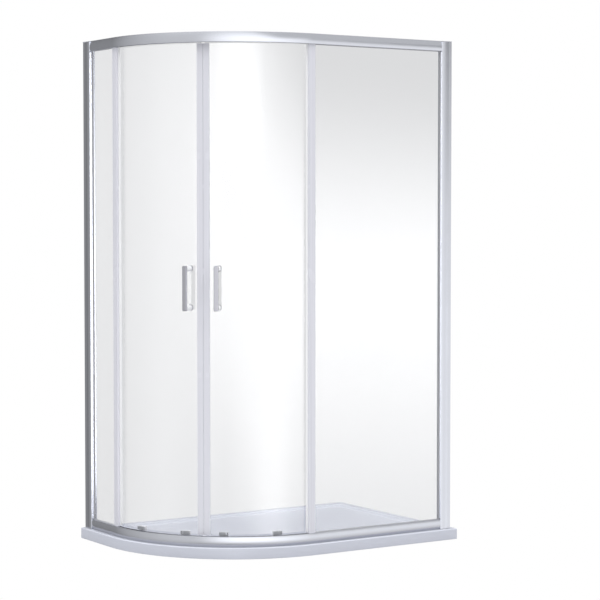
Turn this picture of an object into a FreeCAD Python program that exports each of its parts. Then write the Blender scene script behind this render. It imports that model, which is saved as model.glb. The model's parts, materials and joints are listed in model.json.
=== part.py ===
# Quadrant shower enclosure: an offset 1200 x 800 tray with one large rounded corner, a frame of
# two wall posts and two bent rails, two flat fixed panels and two curved sliding doors.
#
# Frame: millimetres, +Z up, origin on the floor at the centre of the tray's rectangle.
# The long wall is at +Y and the short wall at +X, and the doors face -X and -Y.
#
# The front side is drawn first and the left side is its mirror image. A point of the front side
# has three coordinates: "along", counted from where the curve ends towards the side wall; "inset",
# counted inwards from the tray's outer edge; and the height z. A piece of the curved part is drawn
# at along = 0 and turned round the centre of the curve to its place.
import FreeCAD
import Part
import math
import os

from FreeCAD import Vector

os.makedirs("parts", exist_ok=True)

# ---------------------------------------------------------------- tray
TRAY_LENGTH = 1200.0
TRAY_WIDTH = 800.0
TRAY_HEIGHT = 40.0
CURVE_RADIUS = 550.0
TRAY_CORNER = 6.0
TRAY_EDGE_ROUND = 3.3
WALL_RIM = 38.0
FRONT_RIM = 50.0
RIM_DROP = 8.0
RIM_SLOPE = 7.0
RIM_CORNER = 30.0

# ---------------------------------------------------------------- waste
WASTE_FROM_CENTRE = 350.0
WASTE_HOLE = 90.0
WASTE_SEAT = 116.0
WASTE_SEAT_DEPTH = 2.5
WASTE_SUMP = 130.0
WASTE_FALL = 7.0
TRAP_POCKET = 130.0
TRAP_POCKET_DEPTH = 8.0
FLANGE_WIDTH = 114.0
FLANGE_THICK = 2.0
TAIL_WIDTH = 86.0
TAIL_BORE = 78.0
TAIL_FOOT = 1.0
WASTE_SEAL_THICK = 1.5
WASTE_NUT_WIDTH = 112.0
WASTE_NUT_THICK = 6.0
GRID_THICK = 3.0
GRID_HUB = 16.0
GRID_BARS = 6
GRID_BAR_WIDTH = 4.0
COVER_WIDTH = 112.0
COVER_THICK = 1.6
COVER_RISE = 3.0
COVER_FOOT = 3.0
COVER_FOOT_WIDTH = 5.0
COVER_STEM = 8.0

# ---------------------------------------------------------------- frame
FRAME_HEIGHT = 1850.0
FRONT_WALL_GAP = 24.0
LEFT_WALL_GAP = 9.0
FRONT_POST_REACH = 46.0
LEFT_POST_REACH = 54.0
POST_INSET = 14.0
POST_DEPTH = 28.0
POST_WIDTH = 33.0
POST_ROUND = 3.0
WALL = 1.6
CHANNEL_DEPTH = 29.0
CAP_THICK = 2.5
CAP_PLUG = 10.0
FIXING_FROM_FOOT = 120.0
FIXING_FROM_TOP = 120.0
WALL_HOLE = 5.0
FIXING_SHANK = 3.6
FIXING_HEAD = 7.4
FIXING_HEAD_THICK = 2.2
FIXING_LENGTH = 9.0
FIXING_EDGE = 4.6

# ---------------------------------------------------------------- rails
RAIL_HEIGHT = 37.5
RAIL_FOOT_INSET = 20.5
RAIL_MOUTH_INSET = 17.3
RAIL_BULGE = 2.7
RAIL_INNER_INSET = 40.0
POCKET_DEPTH = 16.0
TRACK_LIP = 2.4
TRACK_LIP_THICK = 1.2
CLOSING_LIP = 4.0

# ---------------------------------------------------------------- glass
GLASS = 6.0
FIXED_GLASS_INSET = 27.0
DOOR_GLASS_INSET = 45.0
GASKET_WALL = 1.7
GASKET_SHOWS = 2.2
GASKET_BASE = 2.2
FIXED_GLASS_OVERRUN = 8.0
DOOR_GLASS_TOP_GAP = 3.5
DOOR_GLASS_BOTTOM = 59.0
MEETING_ANGLE = 45.25

# ---------------------------------------------------------------- upright profiles on the glass
STILE_WIDTH = 28.0
STILE_NOSE = 10.0
STILE_WALL = 3.0
STILE_INNER_LEAF = 20.0
MAGNET_PROFILE_WIDTH = 23.0
MAGNET_PROFILE_WALL = 2.0
MEETING_GAP = 0.6
MAGNET_SKIN = 1.0
MAGNET_THICK = 4.6
MAGNET_WIDTH = 6.6
MAGNET_BACK_GAP = 1.0
EDGE_SEAL_WIDTH = 32.0
EDGE_SEAL_PAST = 22.0
EDGE_SEAL_WALL = 1.6
EDGE_SEAL_INNER_LEAF = 16.0

# ---------------------------------------------------------------- rollers
INNER_ROLLER_ANGLE = 8.25
OUTER_ROLLER_ANGLE = 30.7
WHEEL_INSET = 32.0
WHEEL_THICK = 4.0
TOP_WHEEL = 16.8
LOWER_WHEEL = 12.0
WHEEL_HUB_STEP = 0.5
WHEEL_HUB_WALL = 1.4
WHEEL_RIM = 2.0
WHEEL_CROWN = 0.5
TOP_AXLE = 5.0
LOWER_AXLE = 4.0
AXLE_COLLAR = 7.0
AXLE_FLANGE = 13.0
AXLE_FLANGE_THICK = 1.2
AXLE_RECESS = 1.0
AXLE_HEAD = 8.0
AXLE_HEAD_THICK = 1.4
AXLE_HEAD_CHAMFER = 1.0
LOWER_AXLE_HEAD = 6.8
ROLLER_HOLE = 9.4
CAM_SLEEVE = 9.0
CAM_KNOB = 22.0
CAM_KNOB_THICK = 8.0
CAM_KNOB_ROUND = 2.5

# ---------------------------------------------------------------- lower guides
GUIDE_WIDTH = 32.0
GUIDE_DEPTH = 12.0
GUIDE_BOTTOM = 61.0
GUIDE_TOP = 90.5
GUIDE_ROUND = 3.0
GUIDE_HOLE = 8.0
GUIDE_HOLE_HEIGHT = 84.5
GUIDE_PLATE_THICK = 2.6
GUIDE_PLATE_HEIGHT = 12.0
GUIDE_PLATE_WIDTH = 33.0
GUIDE_SLOT = 4.0
GUIDE_SLOT_PLACE = 8.5
GUIDE_SLOT_BOTTOM = 80.0
GUIDE_SCREW = 4.0
GUIDE_SCREW_PLACE = -9.0
SLIDER_PLACE = -0.5
SLIDER_WIDTH = 7.0
SLIDER_DEPTH = 3.0
SLIDER_RECESS = 2.0
SLIDER_NECK = 6.0
SLIDER_PAD_WIDTH = 13.0
SLIDER_PAD_HEIGHT = 9.0
SLIDER_PAD_THICK = 4.0
SLIDER_PAD_RISE = 3.0
SLIDER_PAD_ROUND = 1.5
SLIDER_SHOULDER = 2.0
SPRING_ROOM_WIDTH = 11.0
SPRING_ROOM_BOTTOM = 66.0
SPRING_ROOM_TOP = 83.0
SPRING_STRIP = 0.6
SPRING_WIDTH = 9.0
SPRING_DEPTH = 3.0
SPRING_FOLDS = 6
GUIDE_TRAVEL = 4.0

# ---------------------------------------------------------------- handles
HANDLE_ANGLE = 6.05
HANDLE_LENGTH = 162.0
HANDLE_WIDTH = 17.0
HANDLE_THICK = 8.0
HANDLE_ROUND = 2.5
HANDLE_STAND = 42.0
HANDLE_MIDDLE = 973.0
HANDLE_CENTRES = 141.0
HANDLE_POST = 21.0
HANDLE_HOLE = 12.0
HANDLE_WASHER = 1.2
HANDLE_BOLT = 6.0
HANDLE_BOLT_BITE = 12.0
HANDLE_BUTTON = 24.0
HANDLE_BUTTON_THICK = 6.0

# ---------------------------------------------------------------- travel stops
FRONT_DOOR_TRAVEL = 236.0
LEFT_DOOR_TRAVEL = 176.0
BUFFER_LENGTH = 10.0
BUFFER_WIDTH = 12.0

# ---------------------------------------------------------------- fits
SLIDE_GAP = 0.4
RUN_GAP = 0.3
CURVED_GAP = 0.05
AXLE_GAP = 0.05
HOLE_GAP = 0.1
CUT_PAST = 1.0

# ---------------------------------------------------------------- worked out from the sizes above
CENTRE_X = -TRAY_LENGTH / 2 + CURVE_RADIUS
CENTRE_Y = -TRAY_WIDTH / 2 + CURVE_RADIUS
CENTRE = Vector(CENTRE_X, CENTRE_Y, 0)
UP = Vector(0, 0, 1)
TOP = TRAY_HEIGHT + FRAME_HEIGHT
FIRST_FIXING = TRAY_HEIGHT + FIXING_FROM_FOOT
LAST_FIXING = TOP - FIXING_FROM_TOP
FIXING_HEIGHTS = (FIRST_FIXING, (FIRST_FIXING + LAST_FIXING) / 2, LAST_FIXING)
FRONT_WALL = TRAY_LENGTH / 2 - FRONT_WALL_GAP - CENTRE_X
LEFT_WALL = TRAY_WIDTH / 2 - LEFT_WALL_GAP - CENTRE_Y
FRONT_POST = FRONT_WALL - FRONT_POST_REACH
LEFT_POST = LEFT_WALL - LEFT_POST_REACH
TOP_RAIL_MOUTH = TOP - RAIL_HEIGHT
BOTTOM_RAIL_MOUTH = TRAY_HEIGHT + RAIL_HEIGHT
GASKET_OUTER = FIXED_GLASS_INSET - GASKET_WALL
GASKET_INNER = FIXED_GLASS_INSET + GLASS + GASKET_WALL
POCKET_OUTER = GASKET_OUTER - HOLE_GAP
POCKET_INNER = GASKET_INNER + HOLE_GAP
TRACK = POCKET_DEPTH + WALL
FRONT_MEETING = 90 - MEETING_ANGLE
LEFT_MEETING = MEETING_ANGLE
DOOR_OUTER = CURVE_RADIUS - DOOR_GLASS_INSET
DOOR_INNER = DOOR_OUTER - GLASS
DOOR_INNER_INSET = DOOR_GLASS_INSET + GLASS
DOOR_TOP = TOP - DOOR_GLASS_TOP_GAP
TOP_AXLE_Z = TOP_RAIL_MOUTH + TRACK + RUN_GAP + TOP_WHEEL / 2
SHOULDER_TOP = SPRING_ROOM_TOP - RUN_GAP
SHOULDER_BOTTOM = SHOULDER_TOP - SLIDER_SHOULDER
LOWER_AXLE_Z = BOTTOM_RAIL_MOUTH - TRACK - RUN_GAP - LOWER_WHEEL / 2
WASTE_DIAGONAL = WASTE_FROM_CENTRE * math.sqrt(0.5)
WASTE = Vector(CENTRE_X - WASTE_DIAGONAL, CENTRE_Y - WASTE_DIAGONAL, 0)
FLOOR_AT_WASTE = TRAY_HEIGHT - RIM_DROP - WASTE_FALL
WASTE_SEAT_Z = FLOOR_AT_WASTE - WASTE_SEAT_DEPTH
FLANGE_TOP = WASTE_SEAT_Z + WASTE_SEAL_THICK + FLANGE_THICK

nodes = {}


# ---------------------------------------------------------------- drawing helpers
def front_point(along, inset, z):
    """The point of the front side at these three coordinates."""
    return Vector(CENTRE_X + along, -TRAY_WIDTH / 2 + inset, z)


def outline(place, start, *steps):
    """Closed face: each step is a corner (a, b), or (via a, via b, a, b) for an arc."""
    edges = []
    last = start
    for step in steps + (start,):
        end = step[-2:]
        if len(step) == 4:
            edges.append(Part.Arc(place(*last), place(*step[:2]), place(*end)).toShape())
        elif end != last:
            edges.append(Part.LineSegment(place(*last), place(*end)).toShape())
        last = end
    return Part.Face(Part.Wire(edges))


def plan(z):
    """Places (along, inset) pairs on the level z."""
    return lambda along, inset: front_point(along, inset, z)


def upright(face, z_top):
    """Solid from a level face up to z_top."""
    return face.extrude(Vector(0, 0, z_top - face.BoundBox.ZMin))


def block(along, inset, heights):
    """Box between two values of each coordinate."""
    corner = front_point(along[0], inset[0], heights[0])
    return Part.makeBox(along[1] - along[0], inset[1] - inset[0], heights[1] - heights[0], corner)


def sector(insets, angles, heights):
    """Part of a ring round the curve's centre; an angle counts from the curve's front end."""
    outer = CURVE_RADIUS - insets[0]
    inner = CURVE_RADIUS - insets[1]

    def on_ring(radius, angle):
        turn = math.radians(angle)
        return CENTRE + Vector(-radius * math.sin(turn), -radius * math.cos(turn), heights[0])

    middle = (angles[0] + angles[1]) / 2
    edges = [
        Part.Arc(on_ring(outer, angles[0]), on_ring(outer, middle), on_ring(outer, angles[1])).toShape(),
        Part.LineSegment(on_ring(outer, angles[1]), on_ring(inner, angles[1])).toShape(),
        Part.Arc(on_ring(inner, angles[1]), on_ring(inner, middle), on_ring(inner, angles[0])).toShape(),
        Part.LineSegment(on_ring(inner, angles[0]), on_ring(outer, angles[0])).toShape(),
    ]
    return Part.Face(Part.Wire(edges)).extrude(Vector(0, 0, heights[1] - heights[0]))


def arc_degrees(length, inset):
    """Angle that a length covers on the curve at this inset."""
    return math.degrees(length / (CURVE_RADIUS - inset))


def hollow_seat(width):
    """Inset of a flat face of this width that rests on the hollow inner side of a door's glass."""
    return CURVE_RADIUS - math.sqrt(DOOR_INNER ** 2 - (width / 2) ** 2) + CURVED_GAP


def turned(shape, angle):
    """The shape carried round the curve by this angle from the curve's front end."""
    moved = shape.copy()
    moved.rotate(CENTRE, UP, -angle)
    return moved


def lathe(along, z, *profile):
    """Round piece whose axis runs inwards; the profile is (inset, radius) pairs."""
    corners = [(profile[0][0], 0.0), *profile, (profile[-1][0], 0.0)]
    points = [front_point(along, inset, z + radius) for inset, radius in corners]
    face = Part.Face(Part.makePolygon(points + points[:1]))
    return face.revolve(front_point(along, 0, z), Vector(0, 1, 0), 360)


def rod(along, z, radius, insets):
    """Plain cylinder whose axis runs inwards."""
    return lathe(along, z, (insets[0], radius), (insets[1], radius))


def disc(centre, radius, z, height):
    """Plain upright cylinder."""
    return Part.makeCylinder(radius, height, Vector(centre.x, centre.y, z))


def mirrored(shape):
    """The left side's copy of a front piece: along and inset change places."""
    return shape.mirror(CENTRE, Vector(1, -1, 0))


def joined(shapes):
    """One solid from pieces that meet, with no seams left inside its faces."""
    return shapes[0].fuse(shapes[1:]).removeSplitter()


def keep(name, *shapes):
    """Writes the node, one solid or a group of separate solids."""
    solids = [solid for shape in shapes for solid in shape.Solids]
    nodes[name] = Part.makeCompound(solids) if len(solids) > 1 else solids[0]
    nodes[name].exportStep("parts/" + name + ".step")


def both_sides(name, front_shapes, left_shapes):
    """Writes a front node, and its left partner as the mirror image."""
    keep(name + "_front", *front_shapes)
    keep(name + "_left", *[mirrored(shape) for shape in left_shapes])


# ---------------------------------------------------------------- shower tray
def rounded_plan(edge_insets, radii, z):
    """Tray outline drawn in by (front, side wall, back wall) insets, with its corner radii."""
    front, side, back = edge_insets
    corner, curve = radii
    west = -TRAY_LENGTH / 2 + front
    south = -TRAY_WIDTH / 2 + front
    east = TRAY_LENGTH / 2 - side
    north = TRAY_WIDTH / 2 - back
    bend = corner * (1 - math.sqrt(0.5))
    sweep = curve * (1 - math.sqrt(0.5))
    return outline(
        lambda x, y: Vector(x, y, z),
        (west, CENTRE_Y),
        (west + sweep, south + sweep, CENTRE_X, south),
        (east - corner, south),
        (east - bend, south + bend, east, south + corner),
        (east, north - corner),
        (east - bend, north - bend, east - corner, north),
        (west + corner, north),
        (west + bend, north - bend, west, north - corner),
    )


def circle_like(wire, centre, radius, z):
    """Circle cut into arcs that lie opposite the edges of a wire round it."""
    def on_circle(point):
        away = Vector(point.x - centre.x, point.y - centre.y, 0).normalize()
        return Vector(centre.x, centre.y, z) + away * radius

    edges = []
    for edge in wire.OrderedEdges:
        first, last = edge.ParameterRange
        ends = [on_circle(edge.valueAt(first)), on_circle(edge.valueAt(last))]
        middle = on_circle(edge.valueAt((first + last) / 2))
        edges.append(Part.Arc(ends[0], middle, ends[1]).toShape())
    return Part.Wire(edges)


def make_tray():
    slab = rounded_plan((0, 0, 0), (TRAY_CORNER, CURVE_RADIUS), 0).extrude(Vector(0, 0, TRAY_HEIGHT))
    top_edges = [edge for edge in slab.Edges if edge.BoundBox.ZMin > TRAY_HEIGHT / 2]
    slab = slab.makeFillet(TRAY_EDGE_ROUND, top_edges)

    floor_z = TRAY_HEIGHT - RIM_DROP
    mouth_radii = (RIM_CORNER, CURVE_RADIUS - FRONT_RIM)
    foot_radii = (RIM_CORNER - RIM_SLOPE, CURVE_RADIUS - FRONT_RIM - RIM_SLOPE)
    mouth = rounded_plan((FRONT_RIM, WALL_RIM, WALL_RIM), mouth_radii, TRAY_HEIGHT)
    foot_insets = (FRONT_RIM + RIM_SLOPE, WALL_RIM + RIM_SLOPE, WALL_RIM + RIM_SLOPE)
    foot = rounded_plan(foot_insets, foot_radii, floor_z)
    sump = circle_like(foot.OuterWire, WASTE, WASTE_SUMP / 2, FLOOR_AT_WASTE)
    rim_cut = Part.makeLoft([mouth.OuterWire, foot.OuterWire], True, True)
    fall_cut = Part.makeLoft([foot.OuterWire, sump], True, True)

    tray = slab.cut(rim_cut).cut(fall_cut)
    tray = tray.cut(disc(WASTE, WASTE_SEAT / 2, WASTE_SEAT_Z, WASTE_SEAT_DEPTH * 2))
    tray = tray.cut(disc(WASTE, WASTE_HOLE / 2, 0, TRAY_HEIGHT))
    tray = tray.cut(disc(WASTE, TRAP_POCKET / 2, 0, TRAP_POCKET_DEPTH))
    keep("shower_tray", tray)


def ring(outer, inner, z, height):
    """Level ring round the waste."""
    return disc(WASTE, outer / 2, z, height).cut(disc(WASTE, inner / 2, z, height))


def make_waste():
    keep("waste_seal", ring(FLANGE_WIDTH, WASTE_HOLE, WASTE_SEAT_Z, WASTE_SEAL_THICK))

    flange = ring(FLANGE_WIDTH, TAIL_BORE, FLANGE_TOP - FLANGE_THICK, FLANGE_THICK)
    tail = ring(TAIL_WIDTH, TAIL_BORE, TAIL_FOOT, FLANGE_TOP - TAIL_FOOT)
    grid_z = FLANGE_TOP - GRID_THICK
    hub_hole = COVER_STEM + 2 * AXLE_GAP
    hub = ring(GRID_HUB, hub_hole, grid_z, GRID_THICK)
    parts = [flange, tail, hub]
    bar_from = (GRID_HUB + hub_hole) / 4
    bar_length = (TAIL_BORE + TAIL_WIDTH) / 4 - bar_from
    for index in range(GRID_BARS):
        corner = Vector(WASTE.x + bar_from, WASTE.y - GRID_BAR_WIDTH / 2, grid_z)
        bar = Part.makeBox(bar_length, GRID_BAR_WIDTH, GRID_THICK, corner)
        bar.rotate(WASTE, UP, index * 360 / GRID_BARS)
        parts.append(bar)
    keep("waste_flange", joined(parts))

    nut_z = TRAP_POCKET_DEPTH - WASTE_NUT_THICK
    nut = ring(WASTE_NUT_WIDTH, TAIL_WIDTH + 2 * HOLE_GAP, nut_z, WASTE_NUT_THICK)
    keep("waste_nut", nut)

    # The cover is a shallow dome on four feet, and its stem drops into the grid's hub.
    rim_z = FLANGE_TOP + COVER_FOOT
    half = COVER_WIDTH / 2
    crown = Vector(0, 0, rim_z + COVER_RISE)
    under = Vector(0, 0, crown.z - COVER_THICK)
    rim_top = Vector(half, 0, rim_z + COVER_THICK)
    rim_foot = Vector(half, 0, rim_z)
    foot_inner = Vector(half - COVER_THICK, 0, rim_z)
    dome_drop = COVER_RISE - COVER_THICK
    over_mid = Vector(half / 2, 0, crown.z - dome_drop / 4)
    under_mid = Vector(half / 2, 0, under.z - dome_drop / 4)
    face = Part.Face(Part.Wire([
        Part.Arc(crown, over_mid, rim_top).toShape(),
        Part.LineSegment(rim_top, rim_foot).toShape(),
        Part.LineSegment(rim_foot, foot_inner).toShape(),
        Part.Arc(foot_inner, under_mid, under).toShape(),
        Part.LineSegment(under, crown).toShape(),
    ]))
    dome = face.revolve(Vector(0, 0, 0), UP, 360)
    dome.translate(WASTE)
    stem_foot = FLANGE_TOP - GRID_THICK
    stem = disc(WASTE, COVER_STEM / 2, stem_foot, under.z + COVER_THICK / 2 - stem_foot)
    feet = []
    for index in range(4):
        turn = math.radians(45 + 90 * index)
        reach = (TAIL_BORE + FLANGE_WIDTH) / 4
        place = WASTE + Vector(reach * math.cos(turn), reach * math.sin(turn), 0)
        feet.append(disc(place, COVER_FOOT_WIDTH / 2, FLANGE_TOP, COVER_FOOT + COVER_THICK))
    keep("waste_cover", joined([dome, stem] + feet))


# ---------------------------------------------------------------- posts and wall channels
def post_section(along):
    """Wall post seen from above: glass pocket towards the door, open box towards the wall."""
    outer = POST_INSET
    inner = POST_INSET + POST_DEPTH
    web = along + POCKET_DEPTH
    end = along + POST_WIDTH
    bend = POST_ROUND * (1 - math.sqrt(0.5))
    skin = outline(
        plan(TRAY_HEIGHT),
        (along, outer + POST_ROUND),
        (along + bend, outer + bend, along + POST_ROUND, outer),
        (end, outer),
        (end, outer + WALL),
        (web, outer + WALL),
        (web, inner - WALL),
        (end, inner - WALL),
        (end, inner),
        (along, inner),
        (along, POCKET_INNER),
        (web - WALL, POCKET_INNER),
        (web - WALL, POCKET_OUTER),
        (along, POCKET_OUTER),
    )
    hollow_start = along + POST_ROUND
    for low, high in ((outer + WALL, POCKET_OUTER - WALL), (POCKET_INNER + WALL, inner - WALL)):
        skin = skin.cut(outline(plan(TRAY_HEIGHT), (hollow_start, low), (web - WALL, low),
                                (web - WALL, high), (hollow_start, high)))
    return skin.Faces[0]


def channel_section(wall):
    """Wall channel seen from above: a plain U that the post slides over."""
    outer = POST_INSET + WALL + SLIDE_GAP
    inner = POST_INSET + POST_DEPTH - WALL - SLIDE_GAP
    edge = wall - CHANNEL_DEPTH
    return outline(
        plan(TRAY_HEIGHT),
        (wall, outer), (wall, inner), (edge, inner), (edge, inner - WALL),
        (wall - WALL, inner - WALL), (wall - WALL, outer + WALL), (edge, outer + WALL), (edge, outer),
    )


def make_wall_side(post, wall):
    """Post, wall channel, cap and fixing screws of one side."""
    body_top = TOP - CAP_THICK
    inner = POST_INSET + POST_DEPTH
    middle = POST_INSET + POST_DEPTH / 2
    screw_place = wall - CHANNEL_DEPTH + FIXING_EDGE
    post_solid = upright(post_section(post), body_top)
    channel_solid = upright(channel_section(wall), body_top)
    screws = []
    for z in FIXING_HEIGHTS:
        hole = rod(screw_place, z, FIXING_SHANK / 2 + HOLE_GAP, (middle, inner + WALL))
        post_solid = post_solid.cut(hole)
        channel_solid = channel_solid.cut(hole)
        wall_hole = Part.makeCylinder(WALL_HOLE / 2, 3 * WALL, front_point(wall - 2 * WALL, middle, z),
                                      Vector(1, 0, 0))
        channel_solid = channel_solid.cut(wall_hole)
        screws.append(lathe(screw_place, z,
                            (inner - FIXING_LENGTH, FIXING_SHANK / 4),
                            (inner - FIXING_LENGTH + FIXING_SHANK / 2, FIXING_SHANK / 2),
                            (inner, FIXING_SHANK / 2),
                            (inner, FIXING_HEAD / 2),
                            (inner + FIXING_HEAD_THICK / 2, FIXING_HEAD / 2),
                            (inner + FIXING_HEAD_THICK, FIXING_HEAD / 3)))

    bend = POST_ROUND * (1 - math.sqrt(0.5))
    lid = outline(
        plan(body_top),
        (post, POST_INSET + POST_ROUND),
        (post + bend, POST_INSET + bend, post + POST_ROUND, POST_INSET),
        (wall, POST_INSET), (wall, inner), (post, inner),
    )
    plug_room = POST_INSET + WALL + 2 * SLIDE_GAP
    plug = block((post + POST_ROUND + SLIDE_GAP, post + POCKET_DEPTH - WALL - SLIDE_GAP),
                 (plug_room, POCKET_OUTER - WALL - SLIDE_GAP), (body_top - CAP_PLUG, body_top + WALL / 2))
    cap = joined([upright(lid, TOP), plug])
    return post_solid, channel_solid, cap, screws


def make_posts():
    front = make_wall_side(FRONT_POST, FRONT_WALL)
    left = make_wall_side(LEFT_POST, LEFT_WALL)
    both_sides("wall_post", front[:1], left[:1])
    both_sides("wall_channel", front[1:2], left[1:2])
    keep("post_caps", front[2], mirrored(left[2]))
    keep("post_screws", *front[3], *[mirrored(screw) for screw in left[3]])


# ---------------------------------------------------------------- rails
def rail_section(mouth, side):
    """Section of a rail at the curve's front end, from its glass pocket's mouth.

    The depth counts from the mouth towards the wheel track; side is +1 where that is up."""
    def place(inset, depth):
        return front_point(0, inset, mouth + side * depth)

    # The bowed face is an arc over the chord from the mouth to the foot.
    chord = math.hypot(RAIL_HEIGHT, RAIL_FOOT_INSET - RAIL_MOUTH_INSET)
    inwards = RAIL_HEIGHT / chord
    back_down = (RAIL_MOUTH_INSET - RAIL_FOOT_INSET) / chord
    middle = ((RAIL_MOUTH_INSET + RAIL_FOOT_INSET) / 2, RAIL_HEIGHT / 2)
    bow_radius = (chord ** 2 / 4 + RAIL_BULGE ** 2) / (2 * RAIL_BULGE)
    reach = bow_radius - RAIL_BULGE
    bow_centre = (middle[0] + inwards * reach, middle[1] + back_down * reach)
    crest = (middle[0] - inwards * RAIL_BULGE, middle[1] - back_down * RAIL_BULGE)

    def skin_inside(depth):
        """Inset of the face skin's inner surface at a depth."""
        return bow_centre[0] - math.sqrt((bow_radius - WALL) ** 2 - (depth - bow_centre[1]) ** 2)

    back = RAIL_INNER_INSET
    lip = back - TRACK_LIP_THICK
    room_top = RAIL_HEIGHT - WALL
    room_middle = (TRACK + room_top) / 2
    skin = outline(
        place,
        (RAIL_MOUTH_INSET, 0.0),
        (*crest, RAIL_FOOT_INSET, RAIL_HEIGHT),
        (back, RAIL_HEIGHT), (back, RAIL_HEIGHT - CLOSING_LIP), (lip, RAIL_HEIGHT - CLOSING_LIP),
        (lip, room_top), (skin_inside(room_top), room_top),
        (skin_inside(room_middle), room_middle, skin_inside(TRACK), TRACK),
        (lip, TRACK), (lip, TRACK + TRACK_LIP), (back, TRACK + TRACK_LIP), (back, POCKET_DEPTH),
        (POCKET_INNER + WALL, POCKET_DEPTH), (POCKET_INNER + WALL, 0.0), (POCKET_INNER, 0.0),
        (POCKET_INNER, POCKET_DEPTH), (POCKET_OUTER, POCKET_DEPTH), (POCKET_OUTER, 0.0),
    )
    chamber = outline(
        place,
        (skin_inside(WALL), WALL),
        (skin_inside(POCKET_DEPTH / 2), POCKET_DEPTH / 2, skin_inside(POCKET_DEPTH), POCKET_DEPTH),
        (POCKET_OUTER - WALL, POCKET_DEPTH), (POCKET_OUTER - WALL, WALL),
    )
    return skin.cut(chamber).Faces[0]


def bent_rail(section):
    """Carries a section along the front straight, round the curve and along the left straight."""
    front = section.extrude(Vector(FRONT_POST, 0, 0))
    curve = section.revolve(CENTRE, UP, -90)
    end = section.copy()
    end.rotate(CENTRE, UP, -90)
    left = end.extrude(Vector(0, LEFT_POST, 0))
    return joined([front, curve, left])


def make_rails():
    keep("top_rail", bent_rail(rail_section(TOP_RAIL_MOUTH, 1)))
    keep("bottom_rail", bent_rail(rail_section(BOTTOM_RAIL_MOUTH, -1)))


# ---------------------------------------------------------------- fixed panels
def fixed_panel(post):
    """Flat fixed pane, its rubber glazing channel and the stile on its free edge."""
    low = BOTTOM_RAIL_MOUTH - POCKET_DEPTH + GASKET_BASE
    high = TOP_RAIL_MOUTH + POCKET_DEPTH - GASKET_BASE
    end = post + POCKET_DEPTH - WALL - GASKET_BASE
    glass_insets = (FIXED_GLASS_INSET, FIXED_GLASS_INSET + GLASS)
    pane = block((-FIXED_GLASS_OVERRUN, end), glass_insets, (low, high))

    rubber_insets = (GASKET_OUTER, GASKET_INNER)
    start = STILE_WIDTH - STILE_NOSE + RUN_GAP
    rubber = block((start, end + GASKET_BASE), rubber_insets, (low - GASKET_BASE, high + GASKET_BASE))
    window = block((start, post - GASKET_SHOWS), (GASKET_OUTER - CUT_PAST, GASKET_INNER + CUT_PAST),
                   (BOTTOM_RAIL_MOUTH + GASKET_SHOWS, TOP_RAIL_MOUTH - GASKET_SHOWS))
    rubber = rubber.cut(window).cut(pane)

    outer = FIXED_GLASS_INSET - STILE_WALL
    inner = FIXED_GLASS_INSET + GLASS + STILE_WALL
    slot_end = -FIXED_GLASS_OVERRUN - CURVED_GAP
    nose = -STILE_NOSE - STILE_WALL / 2
    slot_outer = FIXED_GLASS_INSET
    slot_inner = FIXED_GLASS_INSET + GLASS
    round_off = STILE_WALL / 2
    section = outline(
        plan(BOTTOM_RAIL_MOUTH),
        (nose + STILE_WALL, outer),
        (STILE_WIDTH - STILE_NOSE - round_off, outer),
        (STILE_WIDTH - STILE_NOSE, slot_outer - round_off),
        (STILE_WIDTH - STILE_NOSE, slot_outer),
        (slot_end, slot_outer), (slot_end, slot_inner),
        (STILE_INNER_LEAF - STILE_NOSE, slot_inner),
        (STILE_INNER_LEAF - STILE_NOSE - round_off, inner),
        (nose + STILE_WALL, inner),
        (nose, (outer + inner) / 2, nose + STILE_WALL, outer),
    )
    stile = upright(section, TOP_RAIL_MOUTH)
    return pane, rubber, stile


def make_fixed_panels():
    front = fixed_panel(FRONT_POST)
    left = fixed_panel(LEFT_POST)
    for index, name in enumerate(("fixed_glass", "glazing_rubber", "fixed_stile")):
        both_sides(name, front[index:index + 1], left[index:index + 1])


# ---------------------------------------------------------------- sliding doors
def door_glass(meeting):
    """Curved pane with its holes for rollers, guides and handle."""
    start = -arc_degrees(EDGE_SEAL_PAST - EDGE_SEAL_WALL - CURVED_GAP, DOOR_GLASS_INSET)
    end_gap = MEETING_GAP / 2 + MAGNET_SKIN * 2 + MAGNET_THICK + MAGNET_BACK_GAP
    end = meeting - arc_degrees(end_gap, DOOR_GLASS_INSET)
    insets = (DOOR_GLASS_INSET, DOOR_INNER_INSET)
    pane = sector(insets, (start, end), (DOOR_GLASS_BOTTOM, DOOR_TOP))
    through = (DOOR_GLASS_INSET - GLASS / 2, DOOR_INNER_INSET + GLASS / 2)
    holes = []
    for angle in (INNER_ROLLER_ANGLE, OUTER_ROLLER_ANGLE):
        holes.append(turned(rod(0, TOP_AXLE_Z, ROLLER_HOLE / 2, through), meeting - angle))
        guide_hole = rod(GUIDE_SCREW_PLACE, GUIDE_HOLE_HEIGHT, GUIDE_HOLE / 2, through)
        holes.append(turned(guide_hole, meeting - angle))
    for z in handle_heights():
        holes.append(turned(rod(0, z, HANDLE_HOLE / 2, through), meeting - HANDLE_ANGLE))
    return pane.cut(holes)


def handle_heights():
    """Heights of the two handle posts."""
    return HANDLE_MIDDLE - HANDLE_CENTRES / 2, HANDLE_MIDDLE + HANDLE_CENTRES / 2


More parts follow.
